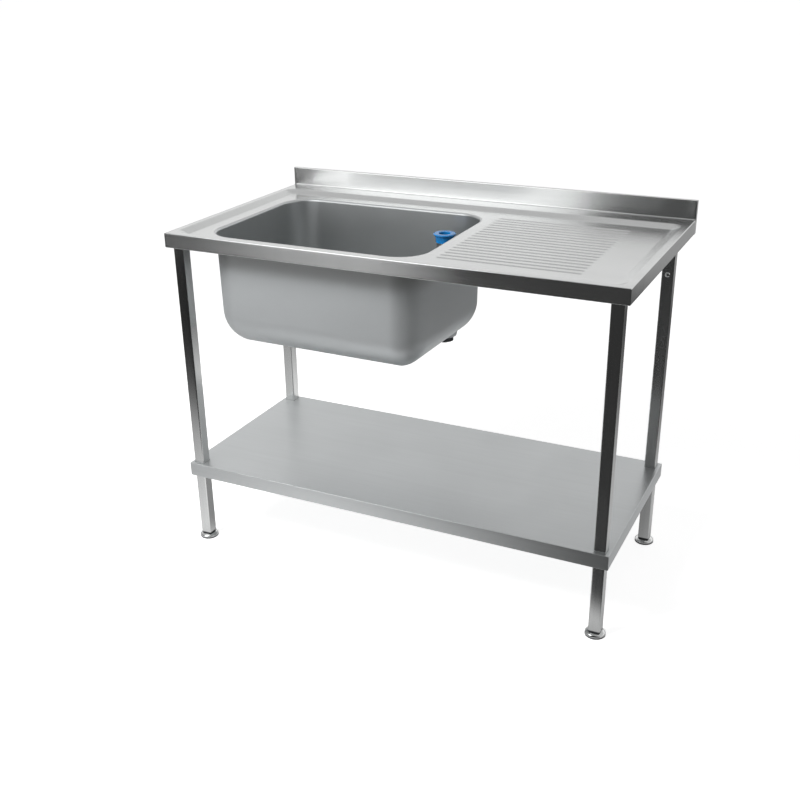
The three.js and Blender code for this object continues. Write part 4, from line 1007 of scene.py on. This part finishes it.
class SINK_OT_upstand_ends(bpy.types.Operator):
    """Build the two plates that close the upstand's ends"""
    bl_idname = "sink.upstand_ends"
    bl_label = "Upstand ends"

    def execute(self, context):
        for side, word in ((-1, "left"), (1, "right")):
            piece = make_upstand_end("upstand_plate_" + word, side)
            dress(piece, "worktop_steel", "frame", "upstand_end_" + word)
        return {"FINISHED"}


class SINK_OT_bowl(bpy.types.Operator):
    """Build the deep-drawn bowl"""
    bl_idname = "sink.bowl"
    bl_label = "Bowl"

    def execute(self, context):
        dress(make_bowl(context.scene.sink_sheet), "bowl_steel", "frame", "bowl")
        return {"FINISHED"}


class SINK_OT_legs(bpy.types.Operator):
    """Build the four square tube legs and their domed screws"""
    bl_idname = "sink.legs"
    bl_label = "Legs"

    def execute(self, context):
        for corner in CORNERS:
            dress(make_leg("tube_" + corner, corner), "leg_steel", "frame", "leg_" + corner)
            for kind in ("leg_screw_", "shelf_screw_"):
                dress(make_screw(kind, corner), "screw_steel", "frame", kind + corner)
        return {"FINISHED"}


class SINK_OT_shelf(bpy.types.Operator):
    """Build the undershelf"""
    bl_idname = "sink.shelf"
    bl_label = "Undershelf"

    def execute(self, context):
        dress(make_shelf(), "shelf_steel", "frame", "undershelf")
        return {"FINISHED"}


class SINK_OT_feet(bpy.types.Operator):
    """Build the levelling feet"""
    bl_idname = "sink.feet"
    bl_label = "Feet"

    def execute(self, context):
        for corner in CORNERS:
            screw, pad = "foot_screw_" + corner, "foot_pad_" + corner
            dress(make_foot_screw("levelling_foot_" + corner, corner), "foot_steel", screw, screw)
            dress(make_foot_pad("foot_sole_" + corner, corner), "foot_plastic", pad, pad)
        return {"FINISHED"}


class SINK_OT_waste(bpy.types.Operator):
    """Build the waste, its seals and its back nut"""
    bl_idname = "sink.waste"
    bl_label = "Waste"

    def execute(self, context):
        dress(make_waste_body(), "screw_steel", "frame", "waste_body")
        upper = make_waste_seal("seal_above", 17.2, 29.0, SEAT_Z + 0.3, SEAT_Z + 2.3)
        dress(upper, "rubber", "frame", "waste_seal_upper")
        lower = make_waste_seal("seal_below", 17.0, 20.6, SEAT_Z - 3.8, SEAT_Z - 1.5)
        dress(lower, "rubber", "frame", "waste_seal_lower")
        dress(make_waste_nut(), "waste_plastic", "frame", "waste_nut")
        return {"FINISHED"}


class SINK_OT_standpipe(bpy.types.Operator):
    """Build the lift-out standpipe: rubber foot, tube and blue collar"""
    bl_idname = "sink.standpipe"
    bl_label = "Standpipe"

    def execute(self, context):
        dress(make_standpipe_plug(), "rubber", "standpipe", "standpipe_plug")
        dress(make_standpipe_tube(), "screw_steel", "standpipe", "standpipe_tube")
        dress(make_standpipe_collar(), "blue_plastic", "standpipe", "standpipe_collar")
        return {"FINISHED"}


class SINK_OT_hidden_steel(bpy.types.Operator):
    """Finish the CAD parts that stay in view under the worktop and the shelf"""
    bl_idname = "sink.hidden_steel"
    bl_label = "Stiffeners and brackets"

    def execute(self, context):
        for name in ("drainer_channel", "side_channel_left", "side_channel_right", "shelf_channel"):
            dress_node(name, "galvanised_steel")
        for corner in CORNERS:
            dress_node("leg_socket_" + corner, "galvanised_steel")
            dress_node("shelf_bracket_" + corner, "galvanised_steel")
            dress_node("foot_insert_" + corner, "foot_plastic")
        return {"FINISHED"}


# ---- stage ----

CAMERA_PLACE = (1.091982, -2.432001, 1.550349)
CAMERA_YAW, CAMERA_PITCH, CAMERA_ROLL = (math.radians(a) for a in (26.546, -23.823, -0.952))
# Side of the picture, and where the lens points in it, in pixels.
PICTURE, LENS_COLUMN, LENS_ROW = 800, 392.799, 410.743
WHITE = (1, 1, 1, 1)


def axes_matrix(right, up, back, place):
    """Placing of a camera or a lamp by its three axes and its place."""
    rows = [[*row, shift] for row, shift in zip(np.stack([right, up, back], 1), place)]
    return Matrix(rows + [[0, 0, 0, 1]])


def make_camera(settings):
    """Camera at the photograph's place, its axes worked out from yaw, pitch and roll."""
    yaw, pitch, roll = CAMERA_YAW, CAMERA_PITCH, CAMERA_ROLL
    ahead = np.array([-math.sin(yaw) * math.cos(pitch), math.cos(yaw) * math.cos(pitch), math.sin(pitch)])
    level = np.array([math.cos(yaw), math.sin(yaw), 0.0])
    above = np.cross(level, ahead)
    right = math.cos(roll) * level + math.sin(roll) * above
    up = math.cos(roll) * above - math.sin(roll) * level
    data = bpy.data.cameras.new("camera")
    data.lens = settings.lens
    data.shift_x = (PICTURE / 2 - LENS_COLUMN) / PICTURE
    data.shift_y = (LENS_ROW - PICTURE / 2) / PICTURE
    data.clip_end = 200
    camera = linked("camera", data)
    camera.matrix_world = axes_matrix(right, up, -ahead, CAMERA_PLACE)
    bpy.context.scene.camera = camera


def make_key_light(power):
    """Soft lamp in front, up on the left, that reflections don't see."""
    place, aim, size = (-1.2, -2.0, 2.75), (0.0, 0.0, 0.6), (1.2, 1.0)
    back = np.array(place) - np.array(aim)
    back /= np.linalg.norm(back)
    side = np.cross([0.0, 0.0, 1.0], back)
    side /= np.linalg.norm(side)
    data = bpy.data.lights.new("key_light", "AREA")
    data.shape = "RECTANGLE"
    data.size, data.size_y = size
    data.energy = power
    lamp = linked("key_light", data)
    lamp.matrix_world = axes_matrix(side, np.cross(back, side), back, place)
    lamp.visible_glossy = False


def seen_share(tree):
    """1 for rays from the camera, a mirror or clear glass, and 0 for light on its way to a dull surface."""
    path = add(tree, "LightPath", {})
    seen = maths(tree, "MAXIMUM", path["Is Camera Ray"], path["Is Glossy Ray"])
    return maths(tree, "MAXIMUM", seen, path["Is Transmission Ray"])


def make_floor(settings):
    """A wide pale floor that keeps the unit's shadow, lifted to white where it is looked at."""
    floor = board("floor", 60000, 0)
    material, tree, shader = base_material("pale_floor", tuple(settings.floor), 0.9, 0.0)
    feed(tree, shader, {"Specular IOR Level": 0.0, "Emission Color": WHITE,
                        "Emission Strength": mapped(tree, seen_share(tree), 0, 1, 0, 0.82, soft=False)})
    floor.data.materials.append(material)


def make_world(settings):
    """White all round where it is looked at, and a plain strength as light."""
    world = bpy.data.worlds.new("plain_room")
    world.use_nodes = True
    tree = world.node_tree
    strength = mapped(tree, seen_share(tree), 0, 1, settings.ambient, 1.0, soft=False)
    feed(tree, tree.nodes["Background"], {"Color": WHITE, "Strength": strength})
    bpy.context.scene.world = world


def glowing(name):
    """A material that only glows, with its tree and the node that makes the light."""
    material = bpy.data.materials.new(name)
    material.use_nodes = True
    tree = material.node_tree
    tree.nodes.clear()
    out, glow = tree.nodes.new("ShaderNodeOutputMaterial"), tree.nodes.new("ShaderNodeEmission")
    feed(tree, out, {"Surface": glow.outputs["Emission"]})
    return material, tree, glow


def for_metal_only(piece, material):
    """Marks a studio panel that only the steel's reflections see."""
    piece.data.materials.append(material)
    for way in ("camera", "diffuse", "shadow", "transmission", "volume_scatter"):
        setattr(piece, "visible_" + way, False)


def make_panel(name, points, strength):
    """Flat panel that glows evenly."""
    material, tree, glow = glowing(name + "_glow")
    feed(tree, glow, {"Strength": strength})
    for_metal_only(flat_piece(name, points), material)


def make_soft_box(strength):
    """Large soft light to the left of the camera, seen by the steel: an upright panel on a slanting line. Its
    lower edge dips in the middle, and it is dim along that edge and strongest at the top."""
    near_x, near_y, slant, top = -80, -1030, 0.983, 3300
    lower = [(near_x, 830), (-377, 725), (-662, 625), (-1004, 570), (-1421, 500), (-1943, 440), (-2610, 480),
             (-3000, 540)]
    points = [(x, near_y + slant * (x - near_x), z) for x, z in (*lower, (lower[-1][0], top), (near_x, top))]
    material, tree, glow = glowing("soft_box_glow")
    at = split(tree, object_place(tree))
    light = product(tree, mapped(tree, at["Z"], 0.5, 1.2, 0.95 * strength, strength),
                    mapped(tree, at["X"], -0.6, -0.08, 1, 0.6), mapped(tree, at["X"], -3.0, -2.2, 0.9, 1))
    feed(tree, glow, {"Strength": light})
    for_metal_only(flat_piece("soft_box", points), material)


def ramp(tree, factor, stops):
    """Grey that runs through (position, value) stops."""
    node = tree.nodes.new("ShaderNodeValToRGB")
    for k, (position, value) in enumerate(stops):
        stop = node.color_ramp.elements[k] if k < 2 else node.color_ramp.elements.new(position)
        stop.position = position
        stop.color = (value, value, value, 1)
    feed(tree, node, {"Fac": factor})
    return node.outputs["Color"]


def make_surround():
    """Studio walls and ceiling that only the steel sees: an upright drum round the unit. Its shade goes round
    with the angle, by one ramp near the floor and another above."""
    radius, height, ceiling = 6000.0, 5200.0, (0.6, 0.6, 0.6, 1)
    rows = [(radius, -5.0), (radius, height * 0.5), (radius, height), (0.0, height + 300)]
    drum = surface("studio_surround", rings(rows, whole_turn(96)), closed_columns=True)
    material, tree, glow = glowing("surround_glow")
    at = split(tree, object_place(tree))
    # Share of a turn from -Y, clockwise seen from above: 0.25 is -X, 0.5 is +Y, 0.75 is +X.
    angle = maths(tree, "ARCTAN2", *(maths(tree, "MULTIPLY", at[axis], -1.0) for axis in "XY"))
    part = maths(tree, "FRACT", mapped(tree, angle, -math.pi, math.pi, 0.5, 1.5, soft=False))
    low = ramp(tree, part, [(0.0, 0.05), (0.09, 0.08), (0.12, 0.5), (0.16, 0.2), (0.25, 0.2), (0.5, 0.6),
                            (0.75, 0.4), (0.92, 0.06), (1.0, 0.05)])
    high = ramp(tree, part, [(0.0, 0.06), (0.05, 0.08), (0.12, 0.12), (0.22, 0.4), (0.36, 1.0), (0.64, 1.02),
                             (0.8, 0.65), (0.93, 0.1), (1.0, 0.06)])
    walls = mixed(tree, mapped(tree, at["Z"], 0.6, 1.8, 0, 1), low, high)
    feed(tree, glow, {"Color": mixed(tree, mapped(tree, at["Z"], 3.9, 4.9, 0, 1), walls, ceiling)})
    for_metal_only(drum, material)


def make_floor_card():
    """The floor as the steel sees it: a pale board under the unit that ends in front along a slanting line, dark
    beyond that line, and less light towards the right, further out and in the unit's own shade."""
    line_normal = (0.361, -0.932, 0)
    material, tree, glow = glowing("floor_card_glow")
    place = object_place(tree)
    at, size = split(tree, place), split(tree, vector_maths(tree, "ABSOLUTE", place))
    shade = product(tree, mapped(tree, size["X"], 0.5, 0.68, 1, 0),
                    mapped(tree, size["Y"], 0.2, 0.42, 0.7, 0))
    light = product(
        tree, maths(tree, "MULTIPLY_ADD", shade, -1.0, 1.0),
        mapped(tree, vector_maths(tree, "LENGTH", place), 0.6, 2.6, 1.15, 0.32),
        mapped(tree, at["X"], 0.1, 0.7, 1, 0.52), mapped(tree, at["Y"], 0.45, 1.2, 1, 0.55),
        mapped(tree, at["X"], -1.0, -0.3, 0.62, 1),
        mapped(tree, vector_maths(tree, "DOT_PRODUCT", place, line_normal), 0.55, 0.66, 1, 0.07))
    behind = mapped(tree, at["Y"], 1.7, 3.0, 0, 0.42)
    feed(tree, glow, {"Strength": maths(tree, "MAXIMUM", light, behind)})
    for_metal_only(board("floor_card", 5900.0, 3), material)


class SINK_OT_stage(bpy.types.Operator):
    """Set up the floor, the soft light, the panels that the steel shows and the camera"""
    bl_idname = "sink.stage"
    bl_label = "Stage"

    def execute(self, context):
        settings = context.scene.sink_stage
        make_camera(settings)
        make_floor(settings)
        make_world(settings)
        make_surround()
        make_floor_card()
        make_soft_box(settings.soft_box)
        # A dark flag upright in front, and a pale panel high up that only the front folds face.
        make_panel("front_flag", [[-50, -1000, 0], [2300, -1000, 0], [2300, -1000, 2400], [-50, -1000, 2400]],
                   0.04)
        make_panel("top_panel", [[-2600, -2700, 2900], [-450, -2700, 2900], [-450, -1100, 3500],
                                 [-2600, -1100, 3500]], 2.6)
        make_key_light(settings.key_power)
        context.scene.view_settings.view_transform = "Standard"
        return {"FINISHED"}


class SINK_PT_panel(bpy.types.Panel):
    """Lists the sizes, finishes and builders of the sink unit"""
    bl_label = "Sink Unit"
    bl_idname = "SINK_PT_panel"
    bl_space_type = "VIEW_3D"
    bl_region_type = "UI"
    bl_category = "Sink Unit"

    def draw(self, context):
        for group in (context.scene.sink_sheet, context.scene.sink_finish, context.scene.sink_stage):
            box = self.layout.box()
            for name in group.__annotations__:
                box.prop(group, name)
        for operator in OPERATORS:
            self.layout.operator(operator.bl_idname)


SETTINGS = {"sink_sheet": SheetSettings, "sink_finish": FinishSettings, "sink_stage": StageSettings}
OPERATORS = (SINK_OT_stage, SINK_OT_worktop, SINK_OT_upstand_ends, SINK_OT_bowl, SINK_OT_legs, SINK_OT_shelf,
             SINK_OT_feet, SINK_OT_waste, SINK_OT_standpipe, SINK_OT_hidden_steel)


def register():
    for group in (*SETTINGS.values(), *OPERATORS, SINK_PT_panel):
        bpy.utils.register_class(group)
    for name, group in SETTINGS.items():
        setattr(bpy.types.Scene, name, bpy.props.PointerProperty(type=group))


def unregister():
    for name in SETTINGS:
        delattr(bpy.types.Scene, name)
    for group in (SINK_PT_panel, *reversed(OPERATORS), *SETTINGS.values()):
        bpy.utils.unregister_class(group)


def main():
    register()
    for operator in OPERATORS:
        group, name = operator.bl_idname.split(".")
        getattr(getattr(bpy.ops, group), name)()
    bpy.context.view_layer.update()


if __name__ == "__main__":
    main()
